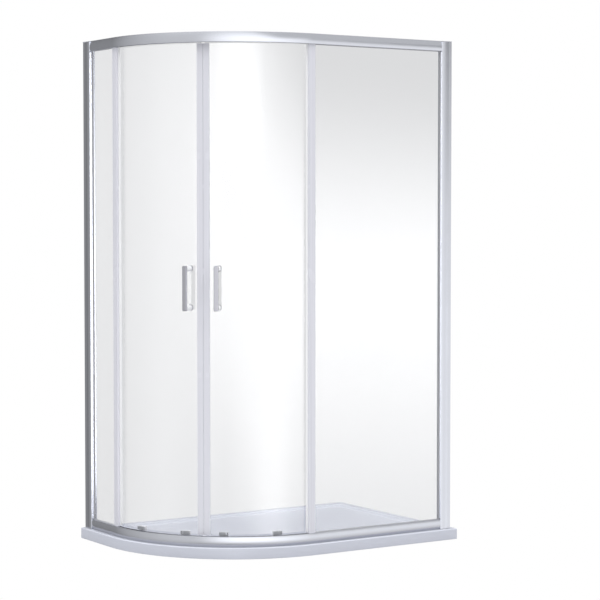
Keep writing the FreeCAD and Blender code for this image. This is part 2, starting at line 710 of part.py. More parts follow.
def magnet_profile(meeting):
    """Upright profile on the meeting edge, and the magnetic strip in its pocket."""
    face = meeting - arc_degrees(MEETING_GAP / 2, DOOR_GLASS_INSET)
    outer = DOOR_GLASS_INSET - MAGNET_PROFILE_WALL
    inner = DOOR_INNER_INSET + MAGNET_PROFILE_WALL
    heights = (BOTTOM_RAIL_MOUTH + GASKET_SHOWS, TOP_RAIL_MOUTH - GASKET_SHOWS)
    back = face - arc_degrees(MAGNET_PROFILE_WIDTH, DOOR_GLASS_INSET)
    body = sector((outer, inner), (back, face), heights)
    glass_end = face - arc_degrees(MAGNET_SKIN * 2 + MAGNET_THICK + MAGNET_BACK_GAP, DOOR_GLASS_INSET)
    slot = sector((DOOR_GLASS_INSET - CURVED_GAP, DOOR_INNER_INSET + CURVED_GAP),
                  (back - CUT_PAST, glass_end + arc_degrees(CURVED_GAP, DOOR_GLASS_INSET)), heights)
    middle = (outer + inner) / 2
    strip_ends = (face - arc_degrees(MAGNET_SKIN + MAGNET_THICK, DOOR_GLASS_INSET),
                  face - arc_degrees(MAGNET_SKIN, DOOR_GLASS_INSET))
    strip_insets = (middle - MAGNET_WIDTH / 2, middle + MAGNET_WIDTH / 2)
    strip = sector(strip_insets, strip_ends, heights)
    ease = arc_degrees(CURVED_GAP, DOOR_GLASS_INSET)
    room = sector((strip_insets[0] - CURVED_GAP, strip_insets[1] + CURVED_GAP),
                  (strip_ends[0] - ease, strip_ends[1] + ease), heights)
    return body.cut([slot, room]), strip


def edge_seal(meeting):
    """Upright profile on the door's other edge, which closes the gap behind the fixed stile."""
    end = -arc_degrees(EDGE_SEAL_PAST, DOOR_GLASS_INSET)
    heights = (BOTTOM_RAIL_MOUTH + GASKET_SHOWS, TOP_RAIL_MOUTH - GASKET_SHOWS)
    outer = DOOR_GLASS_INSET - CURVED_GAP - EDGE_SEAL_WALL
    inner = DOOR_INNER_INSET + CURVED_GAP + EDGE_SEAL_WALL
    leaf = sector((outer, outer + EDGE_SEAL_WALL),
                  (end, end + arc_degrees(EDGE_SEAL_WIDTH, DOOR_GLASS_INSET)), heights)
    end_wall = sector((outer, inner), (end, end + arc_degrees(EDGE_SEAL_WALL, DOOR_GLASS_INSET)), heights)
    back = sector((inner - EDGE_SEAL_WALL, inner),
                  (end, end + arc_degrees(EDGE_SEAL_INNER_LEAF, DOOR_GLASS_INSET)), heights)
    return joined([leaf, end_wall, back])


def handle(meeting):
    """Flat bar on two round posts, bolted through the glass from inside."""
    post_end = DOOR_GLASS_INSET - HANDLE_WASHER
    bar_back = DOOR_GLASS_INSET - HANDLE_STAND
    low = HANDLE_MIDDLE - HANDLE_LENGTH / 2
    half = HANDLE_WIDTH / 2
    bar = block((-half, half), (bar_back - HANDLE_THICK, bar_back), (low, low + HANDLE_LENGTH))
    long_edges = [edge for edge in bar.Edges if edge.BoundBox.YMax < bar.BoundBox.YMax - HANDLE_THICK / 2]
    bar = bar.makeFillet(HANDLE_ROUND, long_edges)
    posts = []
    washers = []
    bolts = []
    for z in handle_heights():
        post = rod(0, z, HANDLE_POST / 2, (bar_back, post_end))
        bite = post_end - HANDLE_BOLT_BITE
        posts.append(post.cut(rod(0, z, HANDLE_BOLT / 2 + CURVED_GAP, (bite, post_end))))
        for start in (post_end, hollow_seat(HANDLE_POST)):
            insets = (start, start + HANDLE_WASHER)
            washer = rod(0, z, HANDLE_POST / 2, insets)
            washers.append(washer.cut(rod(0, z, HANDLE_BOLT / 2 + CURVED_GAP, insets)))
        seat = hollow_seat(HANDLE_POST) + HANDLE_WASHER
        bolts.append(lathe(0, z,
                           (bite + CURVED_GAP, HANDLE_BOLT / 2),
                           (seat, HANDLE_BOLT / 2),
                           (seat, HANDLE_BUTTON / 2),
                           (seat + HANDLE_BUTTON_THICK / 2, HANDLE_BUTTON / 2),
                           (seat + HANDLE_BUTTON_THICK, HANDLE_BUTTON / 3)))
    groups = [[bar], posts, washers, bolts]
    return [[turned(shape, meeting - HANDLE_ANGLE) for shape in group] for group in groups]


def wheel(axle_z, width, axle):
    """Nylon wheel with a crowned rim, a dished web and a raised hub, bored for its axle."""
    front = WHEEL_INSET - WHEEL_THICK / 2
    back = WHEEL_INSET + WHEEL_THICK / 2
    radius = width / 2
    hub = axle / 2 + WHEEL_HUB_WALL
    dish = radius - WHEEL_RIM
    crown = WHEEL_CROWN
    body = lathe(0, axle_z,
                 (front - WHEEL_HUB_STEP, hub), (front + crown, hub), (front + crown, dish),
                 (front, dish), (front, radius - crown), (front + crown, radius),
                 (back - crown, radius), (back, radius - crown), (back, dish),
                 (back - crown, dish), (back - crown, hub), (back + WHEEL_HUB_STEP, hub))
    bore = rod(0, axle_z, axle / 2 + AXLE_GAP, (front - 2 * WHEEL_HUB_STEP, back + 2 * WHEEL_HUB_STEP))
    return body.cut(bore)


def top_roller():
    """Hanger bolt and the cam knob that holds it in the glass."""
    front = WHEEL_INSET - WHEEL_THICK / 2 - WHEEL_HUB_STEP - RUN_GAP
    back = WHEEL_INSET + WHEEL_THICK / 2 + WHEEL_HUB_STEP + RUN_GAP
    flange = DOOR_GLASS_INSET - AXLE_FLANGE_THICK - CURVED_GAP
    seat = hollow_seat(CAM_KNOB)
    knob_end = seat + CAM_KNOB_THICK
    bolt = lathe(0, TOP_AXLE_Z,
                 (front - AXLE_HEAD_THICK, AXLE_HEAD / 2 - AXLE_HEAD_CHAMFER),
                 (front - AXLE_HEAD_THICK / 2, AXLE_HEAD / 2),
                 (front, AXLE_HEAD / 2), (front, TOP_AXLE / 2), (back, TOP_AXLE / 2),
                 (back, AXLE_COLLAR / 2), (flange, AXLE_COLLAR / 2), (flange, AXLE_FLANGE / 2),
                 (flange + AXLE_FLANGE_THICK, AXLE_FLANGE / 2),
                 (flange + AXLE_FLANGE_THICK, TOP_AXLE / 2), (knob_end - AXLE_RECESS, TOP_AXLE / 2))
    sleeve = DOOR_GLASS_INSET + CURVED_GAP
    knob = lathe(0, TOP_AXLE_Z,
                 (sleeve, CAM_SLEEVE / 2), (seat, CAM_SLEEVE / 2), (seat, CAM_KNOB / 2),
                 (knob_end - CAM_KNOB_ROUND, CAM_KNOB / 2), (knob_end, CAM_KNOB / 2 - CAM_KNOB_ROUND))
    bore = rod(0, TOP_AXLE_Z, TOP_AXLE / 2 + CURVED_GAP, (sleeve - CUT_PAST, knob_end + CUT_PAST))
    return bolt, knob.cut(bore)


def slider_insets():
    """Insets of the slider's stem, in the middle of the outer half of the guide housing."""
    start = hollow_seat(GUIDE_WIDTH) + WALL + RUN_GAP
    return start, start + SLIDER_DEPTH


def lower_guide():
    """Housing behind the glass with a slot for the slider, and the clamp plate in front."""
    seat = hollow_seat(GUIDE_WIDTH)
    back = seat + GUIDE_DEPTH
    half = GUIDE_WIDTH / 2
    housing = block((-half, half), (seat, back), (GUIDE_BOTTOM, GUIDE_TOP))
    rounded = [edge for edge in housing.Edges
               if edge.BoundBox.YMin > housing.BoundBox.YMax - WALL and edge.BoundBox.ZLength > GUIDE_DEPTH]
    housing = housing.makeFillet(GUIDE_ROUND, rounded)
    stem_insets = slider_insets()
    guide_half = SLIDER_WIDTH / 2 + RUN_GAP
    stem_room = block((SLIDER_PLACE - guide_half, SLIDER_PLACE + guide_half),
                      (stem_insets[0] - RUN_GAP, stem_insets[1] + RUN_GAP),
                      (GUIDE_BOTTOM - CUT_PAST, GUIDE_TOP + CUT_PAST))
    room_half = SPRING_ROOM_WIDTH / 2
    spring_room = block((SLIDER_PLACE - room_half, SLIDER_PLACE + room_half),
                        (stem_insets[0] - RUN_GAP, back - WALL), (SPRING_ROOM_BOTTOM, SPRING_ROOM_TOP))
    screw_hole = rod(GUIDE_SCREW_PLACE, GUIDE_HOLE_HEIGHT, GUIDE_SCREW / 2 + CURVED_GAP,
                     (seat - CUT_PAST, back - WALL))
    neck_half = SLIDER_NECK / 2 + RUN_GAP
    neck_room = block((SLIDER_PLACE - neck_half, SLIDER_PLACE + neck_half), (stem_insets[0], back + CUT_PAST),
                      (SHOULDER_BOTTOM - GUIDE_TRAVEL - RUN_GAP, GUIDE_TOP + CUT_PAST))
    slot_along = (GUIDE_SLOT_PLACE - GUIDE_SLOT / 2, GUIDE_SLOT_PLACE + GUIDE_SLOT / 2)
    slot = block(slot_along, (DOOR_GLASS_INSET - GLASS, back + CUT_PAST),
                 (GUIDE_SLOT_BOTTOM, GUIDE_TOP + CUT_PAST))
    housing = housing.cut([stem_room, spring_room, screw_hole, neck_room, slot])

    plate_back = DOOR_GLASS_INSET - CURVED_GAP
    plate_front = plate_back - GUIDE_PLATE_THICK
    plate_low = GUIDE_HOLE_HEIGHT - GUIDE_PLATE_HEIGHT / 2
    plate_half = GUIDE_PLATE_WIDTH / 2
    plate = block((-plate_half, plate_half), (plate_front, plate_back),
                  (plate_low, plate_low + GUIDE_PLATE_HEIGHT))
    screw = rod(GUIDE_SCREW_PLACE, GUIDE_HOLE_HEIGHT, GUIDE_SCREW / 2,
                (plate_front, back - WALL - CURVED_GAP))
    return housing, joined([plate.cut(slot), screw])


def slider():
    """Release slider: thumb pad behind the housing, stem and shoulder inside, wheel axle below."""
    stem_insets = slider_insets()
    half = SLIDER_WIDTH / 2
    back = hollow_seat(GUIDE_WIDTH) + GUIDE_DEPTH
    arm_top = DOOR_GLASS_BOTTOM - RUN_GAP * 2
    arm_low = LOWER_AXLE_Z - LOWER_AXLE
    stem = block((SLIDER_PLACE - half, SLIDER_PLACE + half), stem_insets,
                 (arm_low, GUIDE_TOP - SLIDER_RECESS))
    shoulder_half = SPRING_WIDTH / 2
    shoulder = block((SLIDER_PLACE - shoulder_half, SLIDER_PLACE + shoulder_half),
                     (stem_insets[0], stem_insets[1] + RUN_GAP + SPRING_DEPTH), (SHOULDER_BOTTOM, SHOULDER_TOP))
    pad_insets = (back + RUN_GAP, back + RUN_GAP + SLIDER_PAD_THICK)
    pad_half = SLIDER_PAD_WIDTH / 2
    pad_top = SHOULDER_TOP + SLIDER_PAD_RISE
    pad = block((SLIDER_PLACE - pad_half, SLIDER_PLACE + pad_half), pad_insets,
                (pad_top - SLIDER_PAD_HEIGHT, pad_top))
    pad_edges = [edge for edge in pad.Edges if edge.BoundBox.YMin > pad.BoundBox.YMax - SLIDER_PAD_THICK / 2]
    pad = pad.makeFillet(SLIDER_PAD_ROUND, pad_edges)
    neck = block((SLIDER_PLACE - SLIDER_NECK / 2, SLIDER_PLACE + SLIDER_NECK / 2),
                 (stem_insets[0], pad_insets[1] - SLIDER_PAD_ROUND), (SHOULDER_BOTTOM, SHOULDER_TOP))
    foot = block((-LOWER_AXLE, SLIDER_PLACE + half), stem_insets, (arm_low, arm_top - WALL))
    front = WHEEL_INSET - WHEEL_THICK / 2 - WHEEL_HUB_STEP - RUN_GAP
    back = WHEEL_INSET + WHEEL_THICK / 2 + WHEEL_HUB_STEP + RUN_GAP
    axle = lathe(0, LOWER_AXLE_Z,
                 (front - AXLE_HEAD_THICK, LOWER_AXLE_HEAD / 2 - AXLE_HEAD_CHAMFER),
                 (front - AXLE_HEAD_THICK / 2, LOWER_AXLE_HEAD / 2),
                 (front, LOWER_AXLE_HEAD / 2), (front, LOWER_AXLE / 2), (back, LOWER_AXLE / 2),
                 (back, LOWER_AXLE_HEAD / 2), (back + WALL, LOWER_AXLE / 2),
                 (stem_insets[0] + WALL, LOWER_AXLE / 2))
    return joined([stem, shoulder, neck, pad, foot, axle])


def slider_spring():
    """Folded strip spring between the housing's floor and the slider's shoulder."""
    low = SPRING_ROOM_BOTTOM
    high = SHOULDER_BOTTOM
    inset = slider_insets()[1] + RUN_GAP
    half = SPRING_WIDTH / 2
    pitch = (high - low - SPRING_STRIP) / SPRING_FOLDS
    legs = []
    for fold in range(SPRING_FOLDS):
        start = (SLIDER_PLACE - half, low + (fold + fold % 2) * pitch)
        end = (SLIDER_PLACE + half, low + (fold + 1 - fold % 2) * pitch)
        corners = [start, end, (end[0], end[1] + SPRING_STRIP), (start[0], start[1] + SPRING_STRIP)]
        face = outline(lambda along, z: front_point(along, inset, z), *corners)
        legs.append(face.extrude(Vector(0, SPRING_DEPTH, 0)))
    return joined(legs)


def make_door(side, meeting, place):
    """One curved door with everything that rides on it; place maps a front shape to its side."""
    def put(name, shapes):
        keep(side + "_door_" + name, *[place(shape) for shape in shapes])

    put("glass", [door_glass(meeting)])
    profile, strip = magnet_profile(meeting)
    put("magnet_profile", [profile])
    put("magnet_strip", [strip])
    put("edge_seal", [edge_seal(meeting)])
    bar, posts, washers, bolts = handle(meeting)
    put("handle_bar", bar)
    put("handle_posts", posts)
    put("handle_washers", washers)
    put("handle_bolts", bolts)

    rollers = {"inner": meeting - INNER_ROLLER_ANGLE, "outer": meeting - OUTER_ROLLER_ANGLE}
    bolt, knob = top_roller()
    put("roller_bolts", [turned(bolt, angle) for angle in rollers.values()])
    put("roller_cams", [turned(knob, angle) for angle in rollers.values()])
    housing, plate = lower_guide()
    put("guide_housings", [turned(housing, angle) for angle in rollers.values()])
    put("guide_plates", [turned(plate, angle) for angle in rollers.values()])
    for name, angle in rollers.items():
        put(name + "_top_wheel", [turned(wheel(TOP_AXLE_Z, TOP_WHEEL, TOP_AXLE), angle)])
        put(name + "_lower_wheel", [turned(wheel(LOWER_AXLE_Z, LOWER_WHEEL, LOWER_AXLE), angle)])
        put(name + "_slider", [turned(slider(), angle)])
        put(name + "_spring", [turned(slider_spring(), angle)])


# ---------------------------------------------------------------- travel stops in the top rail
def make_buffers():
    """Rubber blocks on the top track: one beyond each door's last wheel, one between the doors."""
    low = TOP_RAIL_MOUTH + TRACK
    high = TOP - WALL - RUN_GAP
    insets = (WHEEL_INSET - BUFFER_WIDTH / 2, WHEEL_INSET + BUFFER_WIDTH / 2 - TRACK_LIP_THICK)
    centre_half = arc_degrees(BUFFER_LENGTH / 2, WHEEL_INSET)
    middle = sector(insets, (FRONT_MEETING - centre_half, FRONT_MEETING + centre_half), (low, high))
    ends = []
    for meeting, travel in ((FRONT_MEETING, FRONT_DOOR_TRAVEL), (LEFT_MEETING, LEFT_DOOR_TRAVEL)):
        wheel_rest = math.radians(meeting - OUTER_ROLLER_ANGLE) * (CURVE_RADIUS - WHEEL_INSET)
        start = travel - wheel_rest + TOP_WHEEL / 2
        ends.append(block((start, start + BUFFER_LENGTH), insets, (low, high)))
    keep("travel_stops", middle, ends[0], mirrored(ends[1]))


make_tray()
make_waste()
make_posts()
make_rails()
make_fixed_panels()
make_door("front", FRONT_MEETING, lambda shape: shape)
make_door("left", LEFT_MEETING, mirrored)
make_buffers()

for name, shape in nodes.items():
    print(name, len(shape.Solids), round(shape.Volume / 1000, 2), shape.isValid())
print(len(nodes), "nodes")
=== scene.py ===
# %% [markdown]
# # A quadrant shower enclosure
# A low tray has one large rounded corner, and a glass screen follows its edge: a flat pane beside
# each wall and two curved doors that slide on a bent top and bottom rail. The solids come
# ready-made from the CAD model, so this lesson is about making smooth surfaces over them with
# numpy, and about making metal, glass, resin and plastic look right. The first cell loads that
# model.

# %% Load the CAD frame
import bmesh
import bpy
import json
import math
import numpy as np
from functools import partial
from mathutils import Matrix

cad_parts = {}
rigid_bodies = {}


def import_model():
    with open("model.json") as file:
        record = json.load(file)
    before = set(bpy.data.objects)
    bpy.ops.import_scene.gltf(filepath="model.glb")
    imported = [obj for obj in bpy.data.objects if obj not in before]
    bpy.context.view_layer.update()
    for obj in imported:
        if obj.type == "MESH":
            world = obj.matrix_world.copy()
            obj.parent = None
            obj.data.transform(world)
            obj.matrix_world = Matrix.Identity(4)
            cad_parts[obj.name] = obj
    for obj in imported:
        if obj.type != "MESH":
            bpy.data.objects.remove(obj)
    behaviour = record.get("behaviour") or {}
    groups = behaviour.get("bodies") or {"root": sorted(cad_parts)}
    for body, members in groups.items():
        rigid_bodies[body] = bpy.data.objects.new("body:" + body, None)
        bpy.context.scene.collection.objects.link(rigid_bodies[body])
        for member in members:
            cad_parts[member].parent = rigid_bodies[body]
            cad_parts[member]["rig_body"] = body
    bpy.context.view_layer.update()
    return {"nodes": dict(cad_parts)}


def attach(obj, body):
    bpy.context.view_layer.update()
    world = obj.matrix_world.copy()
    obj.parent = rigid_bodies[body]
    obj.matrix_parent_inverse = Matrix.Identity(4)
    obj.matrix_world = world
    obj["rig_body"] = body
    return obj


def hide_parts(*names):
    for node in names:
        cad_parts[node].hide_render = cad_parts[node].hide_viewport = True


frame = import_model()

nodes = frame["nodes"]

# %% [markdown]
# ## The sizes
# Sizes are in millimetres, as on a maker's drawing, and become metres only when a mesh is written.
# The long wall is at +Y, the short wall at +X, and the doors face -X and -Y. A place on the screen
# has three numbers: "along" from where the curve ends towards the side wall, "inset" inwards from
# the tray's outer edge, and z upwards. The left side mirrors the front about the curve's diagonal.

# %% Name the driving sizes
TRAY_LENGTH, TRAY_WIDTH, TRAY_HEIGHT = 1200.0, 800.0, 40.0
CURVE_RADIUS = 550.0
CENTRE = np.array([CURVE_RADIUS - TRAY_LENGTH / 2, CURVE_RADIUS - TRAY_WIDTH / 2])
TOP = 1890.0
WALL = 1.6
POSTS = {"front": 580.0, "left": 187.0}
RAIL_HEIGHT = 37.5
TOP_MOUTH = TOP - RAIL_HEIGHT
BOTTOM_MOUTH = TRAY_HEIGHT + RAIL_HEIGHT
GLASS = 6.0
FIXED_INSET, DOOR_INSET = 27.0, 45.0
POCKET_OUTER, POCKET_INNER, POCKET_DEPTH = 25.2, 34.8, 16.0
TINY = 1e-5

# Angles round the curve, in degrees: where each door's meeting edge stands, and how far before
# that edge its wheels and its handle are.
MEETING = {"front": 44.75, "left": 45.25}
ROLLERS = {"inner": 8.25, "outer": 30.7}
HANDLE_ANGLE = 6.05
DOORS = [(side, side + "_door_", meeting) for side, meeting in MEETING.items()]
print("curve centre", CENTRE, "top", TOP)

# %% [markdown]
# ## Placing points
# Two small maps do all the placing. `place` turns points round the curve's centre and mirrors them
# for the left side: it puts upright parts and fittings where they belong. `walk` gives the foot
# point and the inward direction along the tray's edge: it carries a section round a bend, as a
# rail bender does.

# %% Maps from the drawing to the room
def place(points, side="front", angle=0.0):
    """Room points of (along, inset, z) points.

    The point is along to the right of the curve's centre and radius minus inset in front of it;
    it is then turned clockwise by the angle, and on the left side its offsets change places."""
    points = np.asarray(points, float)
    turn = np.radians(angle)
    right, front = points[..., 0], points[..., 1] - CURVE_RADIUS
    x = right * np.cos(turn) + front * np.sin(turn)
    y = front * np.cos(turn) - right * np.sin(turn)
    if side == "left":
        x, y = y, x
    return np.stack([CENTRE[0] + x, CENTRE[1] + y, points[..., 2]], -1)


ARC_LENGTH = CURVE_RADIUS * math.pi / 2


def walk(distance):
    """Foot points on the tray's edge and the inward directions there.

    A negative distance lies on the front straight, then comes the quarter circle, whose angle is
    the distance over the radius, and what is left after it lies on the left straight."""
    distance = np.asarray(distance, float)
    turn = np.clip(distance, 0, ARC_LENGTH) / CURVE_RADIUS
    outward = np.stack([-np.sin(turn), -np.cos(turn)], -1)
    foot = CENTRE + CURVE_RADIUS * outward
    foot[:, 0] -= np.minimum(distance, 0)
    foot[:, 1] += np.maximum(distance - ARC_LENGTH, 0)
    return foot, -outward


def carry(section, distances):
    """Rings of a section of (inset, z) pairs at distances along the edge.

    A point is the foot point plus its inset times the inward direction, at its own height."""
    foot, inward = walk(distances)
    level = foot[:, None] + inward[:, None] * section[None, :, :1]
    height = np.broadcast_to(section[:, 1], level.shape[:2])
    return np.concatenate([level, height[..., None]], -1)


print("the quarter circle is", round(ARC_LENGTH, 1), "mm long")

# %% [markdown]
# ## Outlines with soft corners
# A real edge is never perfectly sharp: its radius of a few tenths of a millimetre catches the
# light. Sines and cosines could sample such an arc, but a rational quadratic curve needs only the
# corner and its two tangent points.

# %% Rounded outlines and arcs
def unit(vectors):
    """The vectors divided by their own lengths."""
    return vectors / np.maximum(np.linalg.norm(vectors, axis=-1, keepdims=True), 1e-12)


def rounded(corners, radii=0.3, steps=3):
    """Closed outline whose corners are arcs.

    An arc touches both sides at radius / tan(half the corner's angle) from the corner. It is the
    rational quadratic curve of start, corner and end, whose middle weight is the sine of that
    half angle, which makes it an exact circle arc."""
    corners = np.asarray(corners, float)
    radii = np.broadcast_to(np.asarray(radii, float), len(corners))
    back = unit(np.roll(corners, 1, 0) - corners)
    ahead = unit(np.roll(corners, -1, 0) - corners)
    half = np.arccos(np.clip((back * ahead).sum(1), -1, 1)) / 2
    reach = (radii / np.tan(half))[:, None]
    t = np.linspace(0, 1, steps + 1)[None, :, None]
    first, last = (1 - t) ** 2, t ** 2
    middle = 2 * t * (1 - t) * np.sin(half)[:, None, None]
    total = first * (corners + back * reach)[:, None] + middle * corners[:, None]
    total = total + last * (corners + ahead * reach)[:, None]
    points = (total / (first + middle + last)).reshape(-1, 2)
    return points[np.linalg.norm(points - np.roll(points, 1, 0), axis=1) > TINY]


def circle(angles):
    """Points of the circle of radius 1 at those angles."""
    return np.stack([np.cos(angles), np.sin(angles)], -1)


def arc(start, via, end, count):
    """Points of the circle arc through three points.

    The centre is equally far from all three, which gives two linear equations."""
    start, via, end = (np.asarray(point, float) for point in (start, via, end))
    rows = 2 * np.array([via - start, end - start])
    centre = np.linalg.solve(rows, [via @ via - start @ start, end @ end - start @ start])
    angles = np.unwrap([math.atan2(*(point - centre)[::-1]) for point in (start, via, end)])
    t = np.linspace(angles[0], angles[2], count)
    return centre + np.linalg.norm(start - centre) * circle(t)


def lifted(plan, z):
    """Points of a flat outline, all at one height."""
    return np.column_stack([plan, np.full(len(plan), z)])


print(len(rounded([(0, 0), (10, 0), (10, 5), (0, 5)], 1.0)), "points round a soft rectangle")

# %% [markdown]
# ## From rings to a closed surface
# A stack of rings with equally many points is a grid, and its faces follow from row and column
# numbers alone. A bent rail, a post, a turned knob and even the tray are such stacks. The ends are
# closed by one many-sided face each, or by the first ring again, as on a wheel with a bore.

# %% Grids, lofts and turned pieces
def loft(rings, loop=False, run=None):
    """Points, quads, end faces and run coordinates of a surface through equally long rings.

    A quad joins points j, j+1 of rings i, i+1, with j counted round the ring, and with loop the
    last ring joins the first. The run is the distance along the stack and round the ring."""
    rings = np.asarray(rings, float)
    count, around = rings.shape[:2]
    i = np.arange(count if loop else count - 1)[:, None]
    j = np.arange(around)[None, :]
    k, l = (i + 1) % count, (j + 1) % around
    quads = np.stack([i * around + j, i * around + l, k * around + l, k * around + j], -1)
    ends = [] if loop else [j[0, ::-1], j[0] + (count - 1) * around]
    steps = np.linalg.norm(np.diff(rings, axis=0), axis=-1).mean(1)
    lengthwise = np.concatenate([[0], np.cumsum(steps)]) if run is None else run
    sides = np.linalg.norm(np.diff(rings[0], axis=0), axis=-1)
    girth = np.concatenate([[0], np.cumsum(sides)])
    both = np.stack(np.broadcast_arrays(lengthwise[:, None], girth[None, :], 0.0), -1)
    return rings.reshape(-1, 3), quads.reshape(-1, 4), ends, both.reshape(-1, 3)


def upright(section, heights, side):
    """Surface of an outline of (along, inset) pairs repeated at several heights."""
    return loft(place([lifted(section, z) for z in heights], side))


def spun(profile, centre, around):
    """Coordinates of a profile of (place on the axis, radius) pairs turned round a centre.

    The first two are the centre's plus the radius times the cosine and the sine."""
    profile = np.asarray(profile, float)
    t = np.linspace(0, 2 * np.pi, around, endpoint=False)
    first = centre[0] + profile[:, 1:] * np.cos(t)
    second = centre[1] + profile[:, 1:] * np.sin(t)
    return first, second, np.broadcast_to(profile[:, :1], first.shape)


def turned(profile, centre, side="front", angle=0.0, around=48, loop=False):
    """Surface of a profile of (inset, radius) pairs turned about an axis that runs inwards."""
    right, height, inset = spun(profile, centre, around)
    return loft(place(np.stack([right, inset, height], -1), side, angle), loop)


def slab(low, high, steps, corner, side, angle=0.0, arc_steps=3):
    """Flat piece between two (along, z) corners: a rounded rectangle at each (inset, shrink)."""
    rings = []
    for inset, shrink in steps:
        (west, bottom), (east, top) = np.add(low, shrink), np.subtract(high, shrink)
        plan = rounded([(west, bottom), (east, bottom), (east, top), (west, top)],
                       corner - shrink, arc_steps)
        rings.append(lifted(plan, inset)[:, [0, 2, 1]])
    return loft(place(rings, side, angle))


def eased(profile, radii, steps=3):
    """Profile of a turned piece from axis to axis with its corners rounded."""
    radii = np.broadcast_to(np.asarray(radii, float), len(profile)).copy()
    radii[[0, -1]] = 0
    return rounded(profile, radii, steps)


print(len(loft(np.zeros((3, 8, 3)))[1]), "quads on a stack of three rings of eight")

# %% [markdown]
# ## Effects that finishes share
# Two effects return on many finishes, so each is a node group. "Mottle and grain" gives a slow,
# wide variation and a fine one, as moulded resin, plastic and rubber have. "Drawn lines" gives the
# fine parallel lines that a die or a polishing belt leaves on metal: noise squeezed hard in one
# direction.

# %% Node helpers
def link(tree, source, target):
    """Joins two sockets, or sets the target where the source is a plain value."""
    if isinstance(source, bpy.types.NodeSocket):
        tree.links.new(source, target)
    else:
        target.default_value = source


def set_inputs(tree, node, **inputs):
    """Sets or links inputs of a node; an underscore in a name stands for a space."""
    for name, value in inputs.items():
        link(tree, value, node.inputs[name.replace("_", " ")])


def new_node(tree, kind, **inputs):
    """Outputs of a new node with its inputs set; the kind may also be a node group."""
    is_group = not isinstance(kind, str)
    node = tree.nodes.new("ShaderNodeGroup" if is_group else "ShaderNode" + kind)
    if is_group:
        node.node_tree = kind
    set_inputs(tree, node, **inputs)
    return node.outputs


def calc(tree, operation, *values):
    """Result socket of a Math node."""
    node = tree.nodes.new("ShaderNodeMath")
    node.operation = operation
    for value, socket in zip(values, node.inputs):
        link(tree, value, socket)
    return node.outputs[0]


def ramped(tree, value, source, target, smooth=True):
    """Result of a Map Range node from (low, high) to (low, high), held at its ends."""
    node = tree.nodes.new("ShaderNodeMapRange")
    node.interpolation_type = "SMOOTHSTEP" if smooth else "LINEAR"
    for socket, item in zip(node.inputs, (value, *source, *target)):
        link(tree, item, socket)
    return node.outputs[0]


def new_group(name, numbers, outputs):
    """Empty shader group that takes a vector and some numbers and puts out numbers."""
    group = bpy.data.node_groups.new(name, "ShaderNodeTree")
    group.interface.new_socket("Vector", in_out="INPUT", socket_type="NodeSocketVector")
    for way, labels in (("INPUT", numbers), ("OUTPUT", outputs)):
        for label in labels:
            group.interface.new_socket(label, in_out=way, socket_type="NodeSocketFloat")
    given, result = (group.nodes.new("NodeGroup" + end) for end in ("Input", "Output"))
    return group, given.outputs, result.inputs


print("node helpers ready")

# %% The two groups
mottle_group, given, result = new_group("mottle_and_grain", ["Mottle Scale", "Grain Scale"],
                                        ["Mottle", "Grain"])
for name, detail in (("Mottle", 3.0), ("Grain", 2.0)):
    noise = new_node(mottle_group, "TexNoise", Vector=given["Vector"],
                     Scale=given[name + " Scale"], Detail=detail, Roughness=0.55)
    mottle_group.links.new(noise["Fac"], result[name])

lines_group, given, result = new_group("drawn_lines", ["Across", "Lengthwise"],
                                       ["Lines", "Cloud"])
parts = new_node(lines_group, "SeparateXYZ", Vector=given["Vector"])
squeezed = new_node(lines_group, "CombineXYZ", **{
    axis: calc(lines_group, "MULTIPLY", parts[axis], given[scale])
    for axis, scale in (("X", "Lengthwise"), ("Y", "Across"), ("Z", "Across"))})["Vector"]
fine = new_node(lines_group, "TexNoise", Vector=squeezed, Scale=1.0, Detail=3.0, Roughness=0.6)
cloud = new_node(lines_group, "TexNoise", Vector=given["Vector"], Scale=9.0, Detail=2.0)
lines_group.links.new(fine["Fac"], result["Lines"])
lines_group.links.new(cloud["Fac"], result["Cloud"])
print("groups:", [group.name for group in bpy.data.node_groups])

# %% [markdown]
# ## Moulded and cast finishes
# Resin, plastic, nylon and rubber differ in colour, gloss and grain, but their build is the same:
# the mottle moves colour and roughness a little, and the grain makes a shallow bump. A table of
# numbers makes them all, so finishes are easy to compare.

# %% Parts of a material
def blank_material(name):
    """Material with its node tree, its Principled shader and the object's own coordinates."""
    material = bpy.data.materials.new(name)
    material.use_nodes = True
    tree = material.node_tree
    return material, tree, tree.nodes["Principled BSDF"], new_node(tree, "TexCoord")["Object"]


def run_vector(tree):
    """The run coordinates that a piece stores: along it and round its section."""
    source = tree.nodes.new("ShaderNodeAttribute")
    source.attribute_name = "run"
    return source.outputs["Vector"]


def two_tones(tree, factor, first, second):
    """Colour between two colours, of which the first may come from another node."""
    mix = tree.nodes.new("ShaderNodeMix")
    mix.data_type = "RGBA"
    link(tree, factor, mix.inputs["Factor"])
    link(tree, (*first, 1) if isinstance(first, tuple) else first, mix.inputs["A"])
    mix.inputs["B"].default_value = (*second, 1)
    return mix.outputs["Result"]


def bumped(tree, height, depth):
    """Normal from a height, with the depth in metres."""
    return new_node(tree, "Bump", Height=height, Strength=0.5, Distance=depth)["Normal"]


print("material helpers ready")


# %% Tray, plastic, nylon and rubber
def moulded(name, dark, light, roughness, mottle=6.0, grain=900.0, depth=2e-5, specular=0.5):
    """Moulded finish: two tones, a range of roughness, and the grain's bump depth in metres."""
    material, tree, shader, vector = blank_material(name)
    effect = new_node(tree, mottle_group, Vector=vector, Mottle_Scale=mottle, Grain_Scale=grain)
    set_inputs(tree, shader, Base_Color=two_tones(tree, effect["Mottle"], dark, light),
               Roughness=ramped(tree, effect["Mottle"], (0.3, 0.7), roughness),
               Normal=bumped(tree, effect["Grain"], depth), Specular_IOR_Level=specular)
    return material


